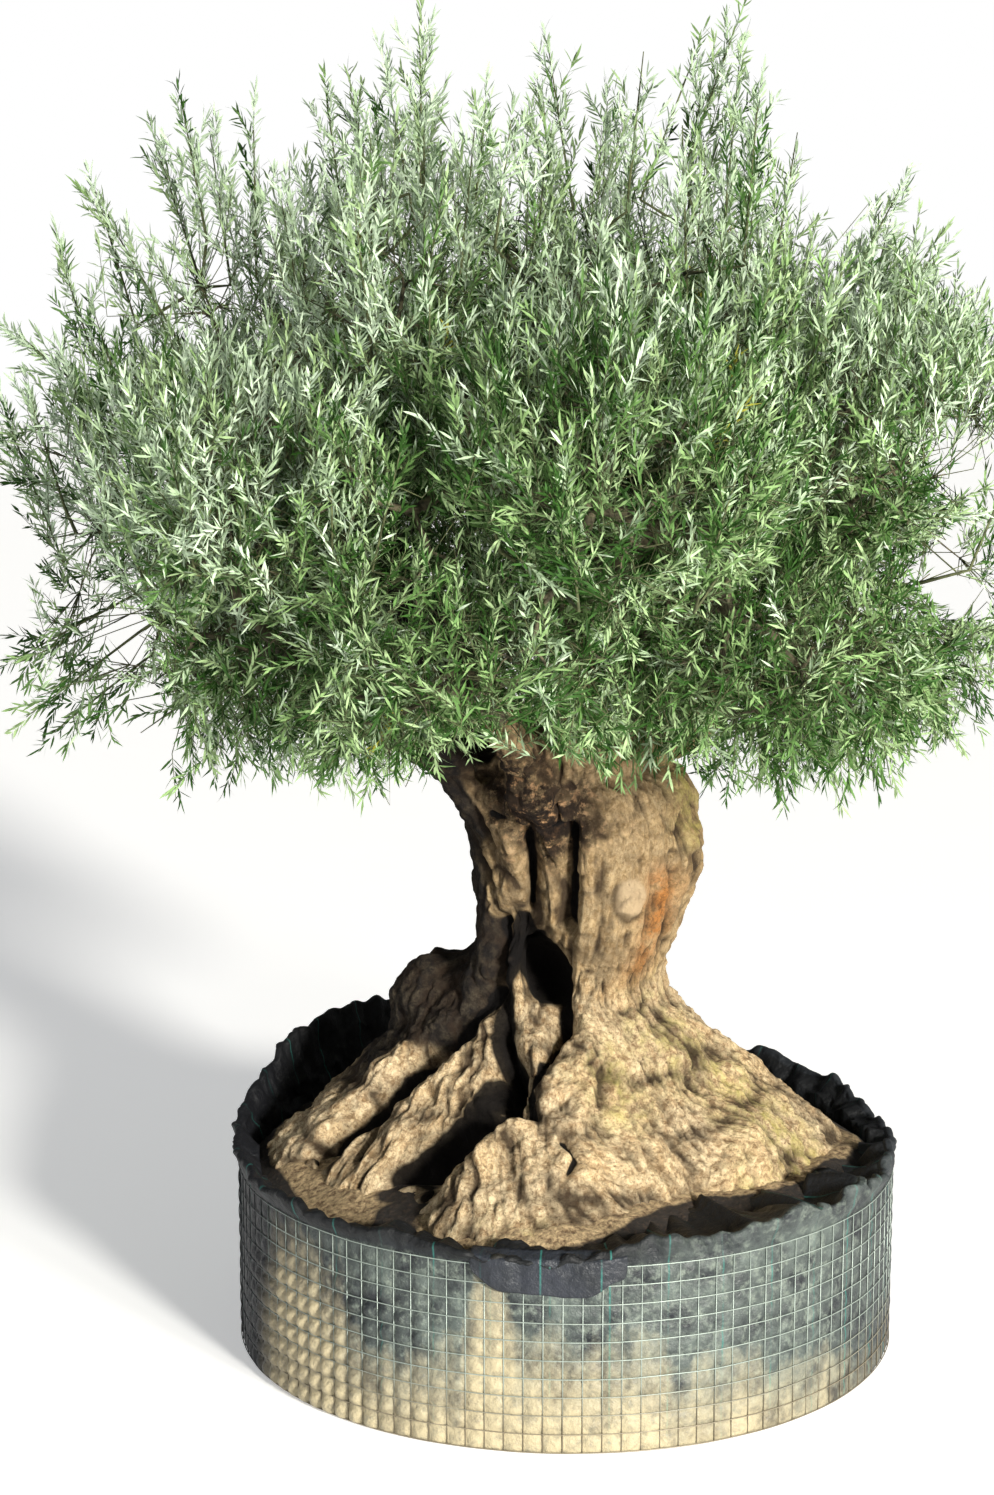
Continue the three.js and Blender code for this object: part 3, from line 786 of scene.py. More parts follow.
# Grooves, cracks and hollows: a line that each follows on the surface, half width and depth.
GROOVES = [
    ([(-0.11, -0.22, 1.46), (-0.10, -0.22, 1.36), (-0.10, -0.21, 1.25)], 0.023, 0.075),
    ([(0.0, -0.26, 1.47), (0.0, -0.24, 1.36), (0.0, -0.23, 1.20)], 0.021, 0.075),
    ([(-0.21, -0.19, 1.50), (-0.10, -0.23, 1.48), (0.0, -0.27, 1.49)], 0.014, 0.026),
    ([(-0.14, -0.19, 1.19), (-0.105, -0.18, 1.13), (-0.06, -0.17, 1.05)], 0.052, 0.100),
    ([(-0.07, -0.16, 1.08), (-0.02, -0.19, 0.99), (-0.02, -0.25, 0.93)], 0.034, 0.070),
    ([(-0.02, -0.25, 0.93), (-0.05, -0.31, 0.87), (-0.11, -0.39, 0.81), (-0.10, -0.48, 0.76)], 0.022, 0.060),
    ([(-0.20, -0.15, 1.19), (-0.195, -0.16, 1.07), (-0.165, -0.24, 0.90), (-0.15, -0.33, 0.82)],
     0.026, 0.062),
    ([(-0.15, -0.33, 0.82), (-0.18, -0.42, 0.75), (-0.30, -0.42, 0.65), (-0.38, -0.44, 0.55),
      (-0.43, -0.48, 0.47)], 0.056, 0.150),
    ([(-0.20, -0.14, 1.00), (-0.28, -0.17, 0.90), (-0.34, -0.16, 0.84)], 0.036, 0.060),
    ([(-0.34, -0.16, 0.84), (-0.47, -0.19, 0.74), (-0.57, -0.22, 0.64), (-0.64, -0.24, 0.52)], 0.036, 0.090),
    ([(-0.49, -0.23, 0.69), (-0.51, -0.30, 0.59)], 0.014, 0.035),
    ([(-0.02, -0.55, 0.71), (0.01, -0.59, 0.67), (-0.02, -0.63, 0.63)], 0.012, 0.032),
]
# Ridges of root and stem: a line that each follows, half width and how far it stands out.
RIDGES = [
    ([(-0.33, -0.08, 0.88), (-0.46, -0.12, 0.77), (-0.64, -0.16, 0.56)], 0.050, 0.034),
    ([(-0.25, -0.20, 0.93), (-0.37, -0.27, 0.78), (-0.50, -0.34, 0.62), (-0.58, -0.42, 0.50)], 0.055, 0.040),
    ([(-0.08, -0.36, 0.86), (-0.11, -0.46, 0.76), (-0.22, -0.54, 0.64), (-0.31, -0.62, 0.50)], 0.050, 0.040),
    ([(-0.09, -0.24, 0.98), (-0.10, -0.28, 0.90), (-0.10, -0.34, 0.84)], 0.034, 0.030),
    ([(-0.05, -0.24, 1.46), (-0.05, -0.23, 1.22)], 0.020, 0.016),
    ([(-0.16, -0.21, 1.45), (-0.15, -0.20, 1.20), (-0.16, -0.17, 1.08)], 0.030, 0.018),
    ([(0.05, -0.26, 1.20), (0.06, -0.27, 1.00), (0.04, -0.36, 0.84), (0.0, -0.50, 0.74)], 0.055, 0.022),
]
# Swellings and healed knots: middle, width and how far each stands out.
SWELLINGS = [
    ((0.32, -0.10, 1.36), 0.080, 0.030),
    ((-0.08, -0.26, 1.60), 0.085, 0.030),
    ((0.30, -0.20, 0.85), 0.090, 0.022),
    ((-0.36, 0.10, 0.93), 0.120, 0.060),
    ((-0.27, 0.05, 1.12), 0.110, -0.040),
    ((0.02, -0.62, 0.66), 0.070, 0.016),
    ((0.22, -0.52, 0.64), 0.110, 0.020),
    ((0.48, -0.38, 0.62), 0.090, 0.022),
]
KNOT = ((0.168, -0.25, 1.285), 0.050)  # a healed cut with a rim round it
RUST_PATCH = ([(0.25, -0.20, 1.30), (0.25, -0.20, 1.20), (0.21, -0.20, 1.08)], 0.056)
SNAG_PATCH = ([(-0.22, -0.38, 1.74), (-0.18, -0.31, 1.62), (-0.12, -0.26, 1.54), (-0.05, -0.25, 1.51)], 0.13)
# Gullies whose floors are painted black as shadow, with their half widths.
SHADOWED_GULLIES = [
    ([(-0.20, -0.42, 0.75), (-0.31, -0.43, 0.64), (-0.40, -0.47, 0.54), (-0.47, -0.54, 0.47)], 0.070),
    ([(-0.17, -0.18, 1.06), (-0.18, -0.24, 0.90), (-0.16, -0.33, 0.82), (-0.20, -0.42, 0.75)], 0.045),
    ([(-0.14, -0.18, 1.18), (-0.10, -0.17, 1.11), (-0.05, -0.17, 1.03)], 0.065),
    ([(-0.19, -0.33, 0.81), (-0.26, -0.37, 0.73), (-0.33, -0.39, 0.66), (-0.39, -0.40, 0.57)], 0.045),
]
MOSS_PATCHES = [
    ([(0.32, -0.08, 1.62), (0.33, -0.10, 1.46)], 0.07),
    ([(0.28, -0.22, 0.92), (0.40, -0.20, 0.78), (0.62, -0.26, 0.55)], 0.13),
    ([(0.10, -0.34, 0.84), (0.13, -0.40, 0.76)], 0.08),
    ([(-0.20, -0.74, 0.49), (0.0, -0.78, 0.49)], 0.07),
    ([(0.50, -0.50, 0.52), (0.66, -0.34, 0.52)], 0.09),
]


def solid_copy(name):
    """A copy of a CAD node's mesh as a piece of its own, with its loose triangles joined up."""
    piece = bpy.data.objects.new(name + "_body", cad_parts[name].data.copy())
    bpy.context.scene.collection.objects.link(piece)
    piece.data.materials.clear()
    in_edit_mode(piece, lambda: bpy.ops.mesh.remove_doubles(threshold=0.0001))
    return piece


def round_copy(name):
    """A rounded copy of a faceted CAD node, with the thickness that rounding took given back."""
    piece = solid_copy(name)
    apply_modifier(piece, "SUBSURF", levels=ROUNDING, render_levels=ROUNDING)
    move_points(piece.data, points_of(piece.data) + ROUNDING_LOSS * normals_of(piece.data))
    return piece


def make_body():
    """Trunk, boughs and the swollen crotch between them as one even skin."""
    trunk = round_copy("trunk")
    bodies = [trunk] + [round_copy(name) for name in BOUGHS]
    leave_nothing_selected()
    bpy.ops.mesh.primitive_ico_sphere_add(subdivisions=4, radius=1)
    crotch = bpy.context.object
    crotch.scale = CROTCH_SIZE
    crotch.location = (0, 0, FORK - 0.03)
    bodies.append(name_piece("crotch"))
    join_pieces(bodies)
    trunk.name = "bark_skin"
    apply_modifier(trunk, "REMESH", mode="VOXEL", voxel_size=BARK_STEP)
    apply_modifier(trunk, "SMOOTH", factor=0.5, iterations=6)

    def flatten_foot():
        level = (0, 0, TRUNK_LOW.z + 0.003)
        bpy.ops.mesh.bisect(plane_co=level, plane_no=(0, 0, 1), use_fill=True, clear_inner=True)

    in_edit_mode(trunk, flatten_foot)
    return trunk


def grain_of(points):
    """Where each point lies round the stem and along the grain."""
    up = np.clip((points[:, 2] - NECK) / (FORK - NECK), 0, 1)
    across = points[:, 0] - TRUNK_LEAN * np.sin(math.pi * up)
    out = np.hypot(across, points[:, 1] / TRUNK_DEPTH)
    turn = np.arctan2(points[:, 1] / TRUNK_DEPTH, across) + GRAIN_TWIST * (points[:, 2] - NECK)
    along = points[:, 2] - 0.8 * out
    return turn, along


def cracks_between(turn, along, count, length, seed, sharp):
    """1 in the cracks between rounded cords that run along the grain, 0 on top of the cords."""
    spots = np.stack([np.cos(turn) * count, np.sin(turn) * count, along / length], 1)
    return bell(lumps(spots, 1.0, seed), sharp)


def carve(piece):
    """Carves cords, cracks, lumps, grooves and knots into the skin, and notes where each colour lies."""
    mesh = piece.data
    points = points_of(mesh)
    outward = normals_of(mesh)
    height = points[:, 2]
    angle = compass(points)
    turn, along = grain_of(points)
    turn = turn + 0.12 * lumps(points, 0.22, 50)
    on_stem = ease(height, FORK + 0.12, FORK - 0.05)
    on_flare = ease(height, 1.05, 0.85)
    calm = 1 - 0.7 * bell(angle + 52, 38) * ease(height, 0.95, 1.1)
    broad = cracks_between(turn, along, 5, 0.22, 51, 0.22) * calm
    cords = cracks_between(turn, along, 12, 0.12, 52, 0.20) * (0.4 + 0.6 * calm) * (1 - 0.75 * on_flare)
    fine = cracks_between(turn, along, 28, 0.06, 53, 0.25) * (1 - 0.5 * on_flare)
    scales = bell(lumps(points * (1, 1, 0.6), 0.032, 58), 0.16)
    knobs = lumps(points, 0.085, 54)
    warts = lumps(points, 0.034, 55)
    grit = lumps(points, 0.015, 56)
    ribs = cracks_between(turn + 0.10 * lumps(points, 0.09, 61), along, 17, 0.20, 59, 0.24) * on_flare
    pits = cracks_between(turn, along, 46, 0.10, 60, 0.26) * on_flare
    level_out = 1 - bell(np.linalg.norm(points - np.array(KNOT[0]), axis=1), 0.07)
    cords = cords * level_out
    relief = 0.010 - 0.020 * broad * on_stem * level_out * (1 - 0.6 * on_flare) - 0.006 * cords
    relief -= 0.0035 * fine + 0.0060 * scales * (1 - 0.7 * on_flare) + 0.007 * ribs + 0.005 * pits
    relief += (0.007 + 0.004 * on_flare) * knobs * on_stem
    relief += (0.006 + 0.001 * on_flare) * warts + (0.003 + 0.002 * on_flare) * grit
    # Painted shade: the colour darkens in cracks, grooves and hollows by how deep they are.
    groove_shade = 0.55 * broad * on_stem + 0.45 * cords + 0.3 * fine + 0.42 * scales * (1 - 0.6 * on_flare)
    groove_shade += 0.35 * ribs + 0.25 * pits - 0.25 * warts
    ragged = 1 + 0.35 * lumps(points, 0.05, 57) + 0.12 * lumps(points, 0.022, 66)
    shade = np.zeros(len(points))
    for line, width, rise in RIDGES:
        relief += rise * on_line(points, line, width * ragged)
    for line, width, depth in GROOVES:
        cut = on_line(points, line, width * ragged)
        relief -= depth * cut
        groove_shade = np.maximum(groove_shade, 1.3 * cut**1.6)
        shade = np.maximum(shade, 1.3 * cut**1.6)
    # Painted black shadow along the deep gullies.
    for line, width in SHADOWED_GULLIES:
        shade = np.maximum(shade, 1.3 * on_line(points, line, width * ragged**1.5))
    groove_shade = np.maximum(groove_shade, 0.9 * shade)
    torn = on_line(points, *SNAG_PATCH)
    relief += torn * (0.018 * np.abs(lumps(points * (1, 1, 0.7), 0.03, 62)) - 0.012 * np.abs(warts))
    relief += torn * 0.012 * lumps(points, 0.055, 64)
    middle, width = KNOT
    from_rim = np.linalg.norm((points - np.array(middle)) * (1, 1, 0.76), axis=1) - width
    from_rim = from_rim + 0.012 * warts
    # The ring round the knot is cut deeper and painted darker on its lower left: painted shade on the side
    # away from the light.
    lower_left = ease((points - np.array(middle)) @ np.array((-0.75, 0, -0.65)), -0.03, 0.02)
    ring = bell(from_rim, 0.010) * (0.15 + 0.85 * lower_left)
    relief += 0.005 * ease(from_rim, 0.004, -0.010) - 0.008 * ring
    groove_shade = np.maximum(groove_shade, 0.95 * ring)
    for middle, width, rise in SWELLINGS:
        away = np.linalg.norm(points - np.array(middle), axis=1)
        relief += rise * np.exp(-((away / width) ** 4))
    knotty = bell(angle % 360 - 205, 26) * ease(height, 1.2, 1.0)
    relief += knotty * (0.012 * lumps(points, 0.06, 67) + 0.007 * lumps(points, 0.028, 68))
    move = outward * relief[:, None]
    toward_rim = ease(height, 0.72, 0.47) * bell(angle + 130, 55)
    move += unit(points * (1, 1, 0)) * (0.120 * toward_rim)[:, None]
    move[:, 2] *= ease(height, EARTH_TOP + 0.002, EARTH_TOP + 0.02)
    move_points(mesh, points + move)
    store_values(mesh, "groove_shade", np.clip(groove_shade, 0, 1.3))
    store_values(mesh, "shade", shade)
    store_values(mesh, "scar", ease(from_rim, 0.002, -0.008))
    note_patches(mesh, points, ragged)
    store_vectors(mesh, "grain", np.stack([np.cos(turn), np.sin(turn), along], 1))


def note_patches(mesh, points, ragged):
    """Marks the rust-coloured stain, the torn snag, the moss, and the left side that is painted dark as
    shade.
    """
    height = points[:, 2]
    for name, patches in (("rust", [RUST_PATCH]), ("snag", [SNAG_PATCH]), ("moss", MOSS_PATCHES)):
        marks = [on_line(points, line, width * ragged) for line, width in patches]
        store_values(mesh, name, np.max(marks, 0))
    store_values(mesh, "weathered", ease(height, 0.90, 1.15))
    # The left side of the stem and flare, from the back round to the front left, is painted near black as
    # shade.
    turn = compass(points) % 360 + 9 * lumps(points, 0.07, 65)
    back_edge = 112 + 14 * lumps(points, 0.16, 69)
    front_edge = 190 + 24 * ease(height, 0.77, 0.92) + 36 * bell(height - 1.11, 0.045)
    shaded_side = ease(turn, back_edge - 20, back_edge + 30) * ease(turn, front_edge + 4, front_edge - 4)
    store_values(mesh, "shaded_side", shaded_side * ease(height, 0.60, 0.76))


def bark_material():
    bark = Paint("old_olive_bark", 0.92, Specular_IOR_Level=0.15)
    grain = bark.attribute("grain", "Vector")
    patches = bark.noise(6, 4)
    blotch = bark.noise(15, 5, 0.66)
    rot = bark.noise(20, 5, 0.7)
    mottle = bark.noise(24, 6, 0.68)
    rough = bark.noise(48, 4, 0.7)
    fleck = bark.noise(105, 5, 0.75)
    stretch = bark.node("Mapping", {"Scale": (1, 1, 0.8)}, {"Vector": grain})
    fibre = bark.noise(42, 5, 0.68, stretch.outputs["Vector"])
    net = bark_cracks(bark, grain, mottle)

    def between(factor, low, high, first, second):
        return bark.blend(bark.spread(factor, low, high), tone(*first), tone(*second))

    def marked(name, factor, low, high, least=0, most=1):
        """How strongly a mark on the skin shows, broken up by a noise."""
        return bark.times(bark.attribute(name), bark.spread(factor, low, high, least, most))

    colour = between(patches, 0.38, 0.62, (226, 198, 154), (212, 190, 154))
    for factor, low, high, most, over in (
        (mottle, 0.48, 0.70, 1, (232, 210, 170)),
        (mottle, 0.46, 0.30, 0.5, (160, 128, 88)),
        (fibre, 0.50, 0.32, 0.5, (134, 104, 70)),
        (fleck, 0.48, 0.34, 0.75, (96, 72, 46)),
        (fleck, 0.55, 0.68, 0.6, (240, 222, 186)),
        (rough, 0.50, 0.36, 0.6, (132, 102, 68)),
        (rough, 0.54, 0.68, 0.45, (240, 220, 182)),
        (net, 0, 1, 0.48, (104, 80, 54)),
    ):
        colour = bark.lay_over(colour, (bark.spread(factor, low, high, 0, most), tone(*over)))
    weathered = bark.times(bark.attribute("weathered"), 0.64)
    grey_patch = bark.times(bark.spread(blotch, 0.50, 0.60, 0, 0.7), weathered)
    pale_patch = bark.times(bark.spread(blotch, 0.46, 0.36, 0, 0.9), weathered)
    stain = between(fleck, 0.35, 0.55, (104, 72, 39), (172, 114, 59))
    splinters = between(rough, 0.50, 0.62, (22, 15, 13), (164, 122, 86))
    snag = bark.spread(bark.attribute("snag"), 0.3, 0.6)
    rotten = bark.times(bark.spread(rot, 0.54, 0.49, 0, 0.9), snag)
    colour = bark.lay_over(
        colour,
        (weathered, tone(127, 104, 68)),
        (grey_patch, tone(92, 78, 60)),
        (pale_patch, tone(204, 176, 132)),
        (marked("moss", mottle, 0.42, 0.62, 0, 0.7), tone(176, 166, 84)),
        (marked("rust", mottle, 0.37, 0.53, 0.2, 1), stain),
        (marked("snag", mottle, 0.70, 0.50, 0.55, 1), splinters),
        (rotten, tone(24, 17, 14)),
        (bark.times(bark.attribute("scar"), 0.8), tone(182, 160, 128)),
        # Painted shade on the left side.
        (marked("shaded_side", mottle, 0.66, 0.44, 0.90, 0.98), tone(19, 18, 20)),
        # Painted shade in the cracks and grooves.
        (bark.spread(bark.attribute("groove_shade"), 0.35, 1.1, 0, 0.92), tone(46, 35, 26)),
        # Painted black shadow in the deepest grooves and the gullies.
        (bark.spread(bark.attribute("shade"), 0.62, 0.80, 0, 0.95), tone(13, 11, 11)),
    )
    bark.wire_up("Base Color", colour)
    bark.roughen((mottle, 0.7, 0.02), (fibre, 0.7, 0.010), (net, -0.55, 0.007), (fleck, 1.0, 0.009))
    return bark


def bark_cracks(bark, grain, mottle):
    """A net of thin cracks between small plates that are longer along the grain."""
    stirred = bark.node("VectorMath", None, {0: grain}, operation="ADD")
    swing = bark.node("CombineXYZ", None, {"X": mottle, "Y": mottle, "Z": mottle})
    scaled = bark.node("VectorMath", None, {0: swing.outputs[0]}, operation="SCALE")
    scaled.inputs["Scale"].default_value = 0.12
    bark.tree.links.new(scaled.outputs[0], stirred.inputs[1])
    longer = bark.node("Mapping", {"Scale": (1, 1, 1.3)}, {"Vector": stirred.outputs[0]})
    plates = {"Scale": 19.0, "Randomness": 1.0}
    from_edge = {"feature": "DISTANCE_TO_EDGE"}
    edges = bark.node("TexVoronoi", plates, {"Vector": longer.outputs[0]}, **from_edge)
    return bark.spread(edges.outputs["Distance"], 0.10, 0.0)


def part_at(piece, height, name):
    """Cuts a piece in two at a height. Both halves are closed again, and the upper one is returned."""
    take_up(piece)
    bpy.ops.object.duplicate()
    upper = bpy.context.object
    upper.name = name
    upper.data.name = name
    for half, below in ((piece, True), (upper, False)):
        cut = {"use_fill": True, "clear_outer": below, "clear_inner": not below}
        level = {"plane_co": (0, 0, height), "plane_no": (0, 0, 1)}
        in_edit_mode(half, lambda: bpy.ops.mesh.bisect(**level, **cut))
    return upper


def make_trunk_and_boughs():
    trunk = make_body()
    carve(trunk)
    boughs = part_at(trunk, FORK + 0.04, "bark_boughs")
    stem = part_at(trunk, FLARE_TOP, "bark_stem")
    trunk.name = "bark_flare"
    trunk.data.name = "bark_flare"
    bark = bark_material()
    for piece in (trunk, stem, boughs):
        smooth(piece)
    place(trunk, bark, "bark", "trunk")
    place(stem, bark, "bark", "trunk")
    place(boughs, bark, "limb", *BOUGHS)


# ---- crown: the space it fills ----

CELL = 0.025  # side of the small cubes that the crown's space is counted in
MARGIN = 6 * CELL
DEEPEST = 24  # cubes: depth in the crown is counted no further than this
SOFTENING = 10  # rounds that soften the crown's edge before the way out is read from it


def join_masses():
    """One search tree over the triangles of all foliage masses."""
    points = []
    faces = []
    for name in MASSES:
        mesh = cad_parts[name].data
        start = len(points)
        points.extend(vertex.co.copy() for vertex in mesh.vertices)
        faces.extend([start + corner for corner in face.vertices] for face in mesh.polygons)
    return BVHTree.FromPolygons(points, faces), np.array(points)


def count_space():
    """The crown's space as small cubes: the corner they start from, and which of them are inside."""
    tree, points = join_masses()
    low = points.min(0) - MARGIN
    size = np.ceil((points.max(0) + MARGIN - low) / CELL).astype(int)
    inside = np.zeros(size, bool)
    heights = low[2] + CELL * (np.arange(size[2]) + 0.5)
    up = Vector((0, 0, 1))
    for i in range(size[0]):
        for j in range(size[1]):
            spot = Vector((low[0] + CELL * (i + 0.5), low[1] + CELL * (j + 0.5), low[2]))
            count = np.zeros(size[2], int)
            while True:
                hit, normal, _, _ = tree.ray_cast(spot, up)
                if hit is None:
                    break
                count[heights > hit.z] += 1 if normal.z < 0 else -1
                spot = hit + 0.00002 * up
            inside[i, j] = count > 0
    return low, inside


def shift_all(field, blend):
    """Combines each cube with its six neighbours."""
    result = field.copy()
    for axis in range(3):
        for step in (-1, 1):
            result = blend(result, np.roll(field, step, axis))
    return result


def measure_space():
    """The crown's cubes again, with how deep each one lies and which way leads out of the crown."""
    low, inside = count_space()
    depth = np.zeros(inside.shape)
    left = inside
    for _ in range(DEEPEST):
        depth += left * CELL
        left = shift_all(left, np.logical_and)
    soft = inside.astype(float)
    for _ in range(SOFTENING):
        soft = shift_all(soft, np.add) / 7
    way_out = -np.stack(np.gradient(soft), -1)
    return {"low": low, "inside": inside, "depth": depth, "way_out": unit(way_out)}


def crown_cells(space):
    """The middle of every small cube that is inside the crown, and how deep it lies."""
    cells = np.argwhere(space["inside"])
    return space["low"] + CELL * (cells + 0.5), space["depth"][tuple(cells.T)]


def look_up(space, field, points):
    index = np.floor((points - space["low"]) / CELL).astype(int)
    index = np.clip(index, 0, np.array(space["inside"].shape) - 1)
    return space[field][tuple(index.T)]


# ---- crown: shoots ----

CROWN_FOOT = 1.6
CROWN_TALL = 2.0
SHOOT_COUNT = 12000
SHOOT_LENGTHS = (0.10, 0.20)
LEAF_PAIRS = 11
LEADER_LENGTH = 0.46
PLUME_COUNT = 105
PLUME_LENGTHS = (0.32, 0.55)
PLUME_GAP = 0.15  # the tips of two plumes are at least this far apart
STALK_STEP = 0.12  # leafy lengths of a plume's own stalk
SIDE_STEP = 0.046  # distance between the side shoots up a plume
SIDE_TURN = 2.4  # radians from one side shoot to the next
HEM = 1.54  # the crown's lower edge, which rises towards the front
HEM_RISE = 0.20

# Gaps in the crown as seen from the front: x, z, half width, half height and how empty each is.
GAPS = [
    (-0.71, 3.32, 0.070, 0.09, 1.0),
    (-0.82, 3.18, 0.045, 0.06, 0.7),
    (-0.93, 2.95, 0.045, 0.09, 0.6),
    (-0.31, 3.38, 0.050, 0.10, 1.0),
    (0.03, 3.37, 0.060, 0.12, 1.0),
    (0.02, 3.20, 0.040, 0.07, 0.7),
    (0.12, 3.40, 0.030, 0.06, 0.6),
    (0.20, 3.42, 0.050, 0.08, 0.9),
    (0.26, 3.30, 0.060, 0.12, 1.0),
    (0.40, 3.20, 0.030, 0.06, 0.5),
    (0.58, 3.26, 0.045, 0.14, 0.9),
    (0.70, 3.22, 0.100, 0.21, 1.0),
    (0.66, 2.94, 0.050, 0.07, 0.6),
    (-1.20, 2.86, 0.035, 0.10, 0.7),
    (-1.23, 1.95, 0.085, 0.08, 1.0),
    (-1.12, 1.70, 0.085, 0.11, 1.0),
    (1.07, 2.45, 0.110, 0.13, 0.9),
    (1.03, 2.13, 0.100, 0.11, 0.9),
]
# Sprays that stand or hang clear of the crown's masses: the foot and the tip of each.
STRAYS = [
    ((-1.22, -0.10, 2.62), (-1.34, -0.12, 3.02)),
    ((-1.15, 0.05, 2.78), (-1.26, 0.05, 3.17)),
    ((-1.16, 0.00, 2.50), (-1.48, -0.05, 2.79)),
    ((-1.14, 0.00, 2.24), (-1.50, -0.05, 2.42)),
    ((-1.15, -0.10, 2.08), (-1.50, -0.20, 1.90)),
    ((-1.14, -0.10, 1.98), (-1.47, -0.20, 1.74)),
    ((-1.10, -0.15, 1.93), (-1.38, -0.30, 1.72)),
    ((-0.95, 0.10, 1.82), (-1.20, 0.15, 1.64)),
    ((0.40, -0.05, 3.00), (0.44, -0.05, 3.50)),
    ((0.31, 0.05, 3.02), (0.35, 0.05, 3.46)),
    ((0.44, -0.08, 2.98), (0.49, -0.10, 3.42)),
]


def gap_at(points):
    """How empty the crown is at a place, 0 to 1. The gaps lie along the line of sight from the front."""
    camera = np.array(CAMERA_PLACE)
    seen = camera + (points - camera) * (-camera[1] / (points[:, 1] - camera[1]))[:, None]
    empty = np.zeros(len(points))
    for x, z, wide, tall, share in GAPS:
        away = ((seen[:, 0] - x) / wide) ** 2 + ((seen[:, 2] - z) / tall) ** 2
        empty = np.maximum(empty, share * ease(away, 1.5, 0.6))
    return empty


def clumps(points):
    """How full the crown is at a place: upright clumps with airier stretches between them."""
    return lumps(points * (1, 1, 0.4), 0.15, 61) + 0.5 * lumps(points * (1, 1, 0.6), 0.07, 62)


def airy(points, depth):
    """How closely the shoots stand: sparse at the far left, and near the skin of the upper crown."""
    left = 1 - 0.86 * ease(-points[:, 0], 0.92, 1.22) * ease(points[:, 2], 3.0, 2.5)
    right = 1 - 0.5 * ease(points[:, 0], 0.92, 1.15) * ease(points[:, 2], 2.9, 2.5)
    lean = 0.16 * ease(-points[:, 0], 0.1, 0.8)
    high = ease(points[:, 2] + lean, 2.70, 3.10) * ease(depth, 0.36, 0.14)
    gaps = ease(clumps(points), -0.5, 0.3)
    notches = bell(points[:, 2] - 2.40, 0.13) + bell(points[:, 2] - 2.06, 0.07)
    right *= 1 - 0.92 * ease(points[:, 0], 0.86, 1.02) * np.minimum(notches, 1)
    over_trunk = 0.12 * bell(points[:, 0] + 0.13, 0.17) - 0.07 * bell(points[:, 0] - 0.22, 0.17)
    ragged = 0.05 * lumps(points * (1, 1, 0), 0.16, 63)
    hem = HEM + HEM_RISE * np.maximum(-points[:, 1], 0) + over_trunk + ragged
    above = ease(points[:, 2], hem - 0.02, hem + 0.08)
    return above * left * right * (1 - 0.91 * high) * (1 - (0.35 + 0.58 * high) * (1 - gaps))


def place_shoots(space, rng):
    """Tips spread through the outer part of the crown, with the way that each one points."""
    middles, depth = crown_cells(space)
    thick = 0.07 + 0.06 * ease(middles[:, 2], 2.5, 3.0)
    weight = np.exp(-np.maximum(depth - thick, 0) / thick) * airy(middles, depth)
    chosen = rng.choice(len(middles), SHOOT_COUNT, replace=False, p=weight / weight.sum())
    tips = middles[chosen] + rng.uniform(-0.5, 0.5, (SHOOT_COUNT, 3)) * CELL
    outward = look_up(space, "way_out", tips)
    height = np.clip((tips[:, 2] - CROWN_FOOT) / CROWN_TALL, 0, 1)
    rise = 0.08 + 1.15 * ease(height, 0.10, 0.75)
    droop = ease(height, 0.20, 0.04) * 0.55
    stray = rng.normal(0, 0.36, (SHOOT_COUNT, 3))
    heading = 0.55 * outward + stray
    heading[:, 2] += rise - droop
    heading = unit(heading)
    near_skin = ease(depth[chosen], 0.12, 0.03)
    proud = 0.03 + 0.09 * ease(clumps(tips), 0.0, 0.8)
    tips = tips + heading * (proud * near_skin * rng.random(SHOOT_COUNT))[:, None]
    length = rng.uniform(*SHOOT_LENGTHS, SHOOT_COUNT)
    base = tips - heading * length[:, None]
    empty = np.maximum(gap_at(tips), gap_at(0.4 * base + 0.6 * tips))
    kept = rng.random(SHOOT_COUNT) > empty
    return base[kept], heading[kept], length[kept]


def find_leaders():
    """The tall shoots: the foot and the tip of every slim cone on the masses."""
    leaders = []
    for name in MASSES:
        body = solid_copy(name)
        points = points_of(body.data)
        near = [[] for _ in points]
        for edge in body.data.edges:
            first, second = edge.vertices
            near[first].append(second)
            near[second].append(first)
        for index, neighbours in enumerate(near):
            falls = points[index] - points[neighbours]
            axis = unit(falls.mean(0))
            slim = (unit(falls) @ axis).min() > 0.88
            if slim and len(neighbours) >= 4 and axis[2] > 0.5:
                leaders.append((points[index] - LEADER_LENGTH * axis, points[index]))
        bpy.data.objects.remove(body)
    return leaders


def find_plumes(space, leaders, rng):
    """More upright shoots, well apart from each other, whose tips stand in the skin of the crown."""
    middles, depth = crown_cells(space)
    outward = look_up(space, "way_out", middles)
    upper = (depth < 0.05) & (middles[:, 2] > 2.45) & (outward[:, 2] > -0.1)
    spots = middles[upper]
    headings = unit(0.42 * outward[upper] * (1, 1, 0.2) + (0, 0, 1.0))
    order = rng.permutation(len(spots))
    taken = [tip for _, tip in leaders]
    plumes = []
    for index in order:
        proud = 0.08 + 0.12 * ease(spots[index, 2], 2.9, 3.2)
        tip = spots[index] + headings[index] * rng.uniform(0.0, proud)
        crossed = gap_at(tip - np.outer((0, 0.12, 0.24), headings[index])).max()
        if crossed > 0.3 or min(np.linalg.norm(tip - other) for other in taken) < PLUME_GAP:
            continue
        taken.append(tip)
        plumes.append((tip - rng.uniform(*PLUME_LENGTHS) * headings[index], tip))
        if len(plumes) == PLUME_COUNT:
            break
    return plumes


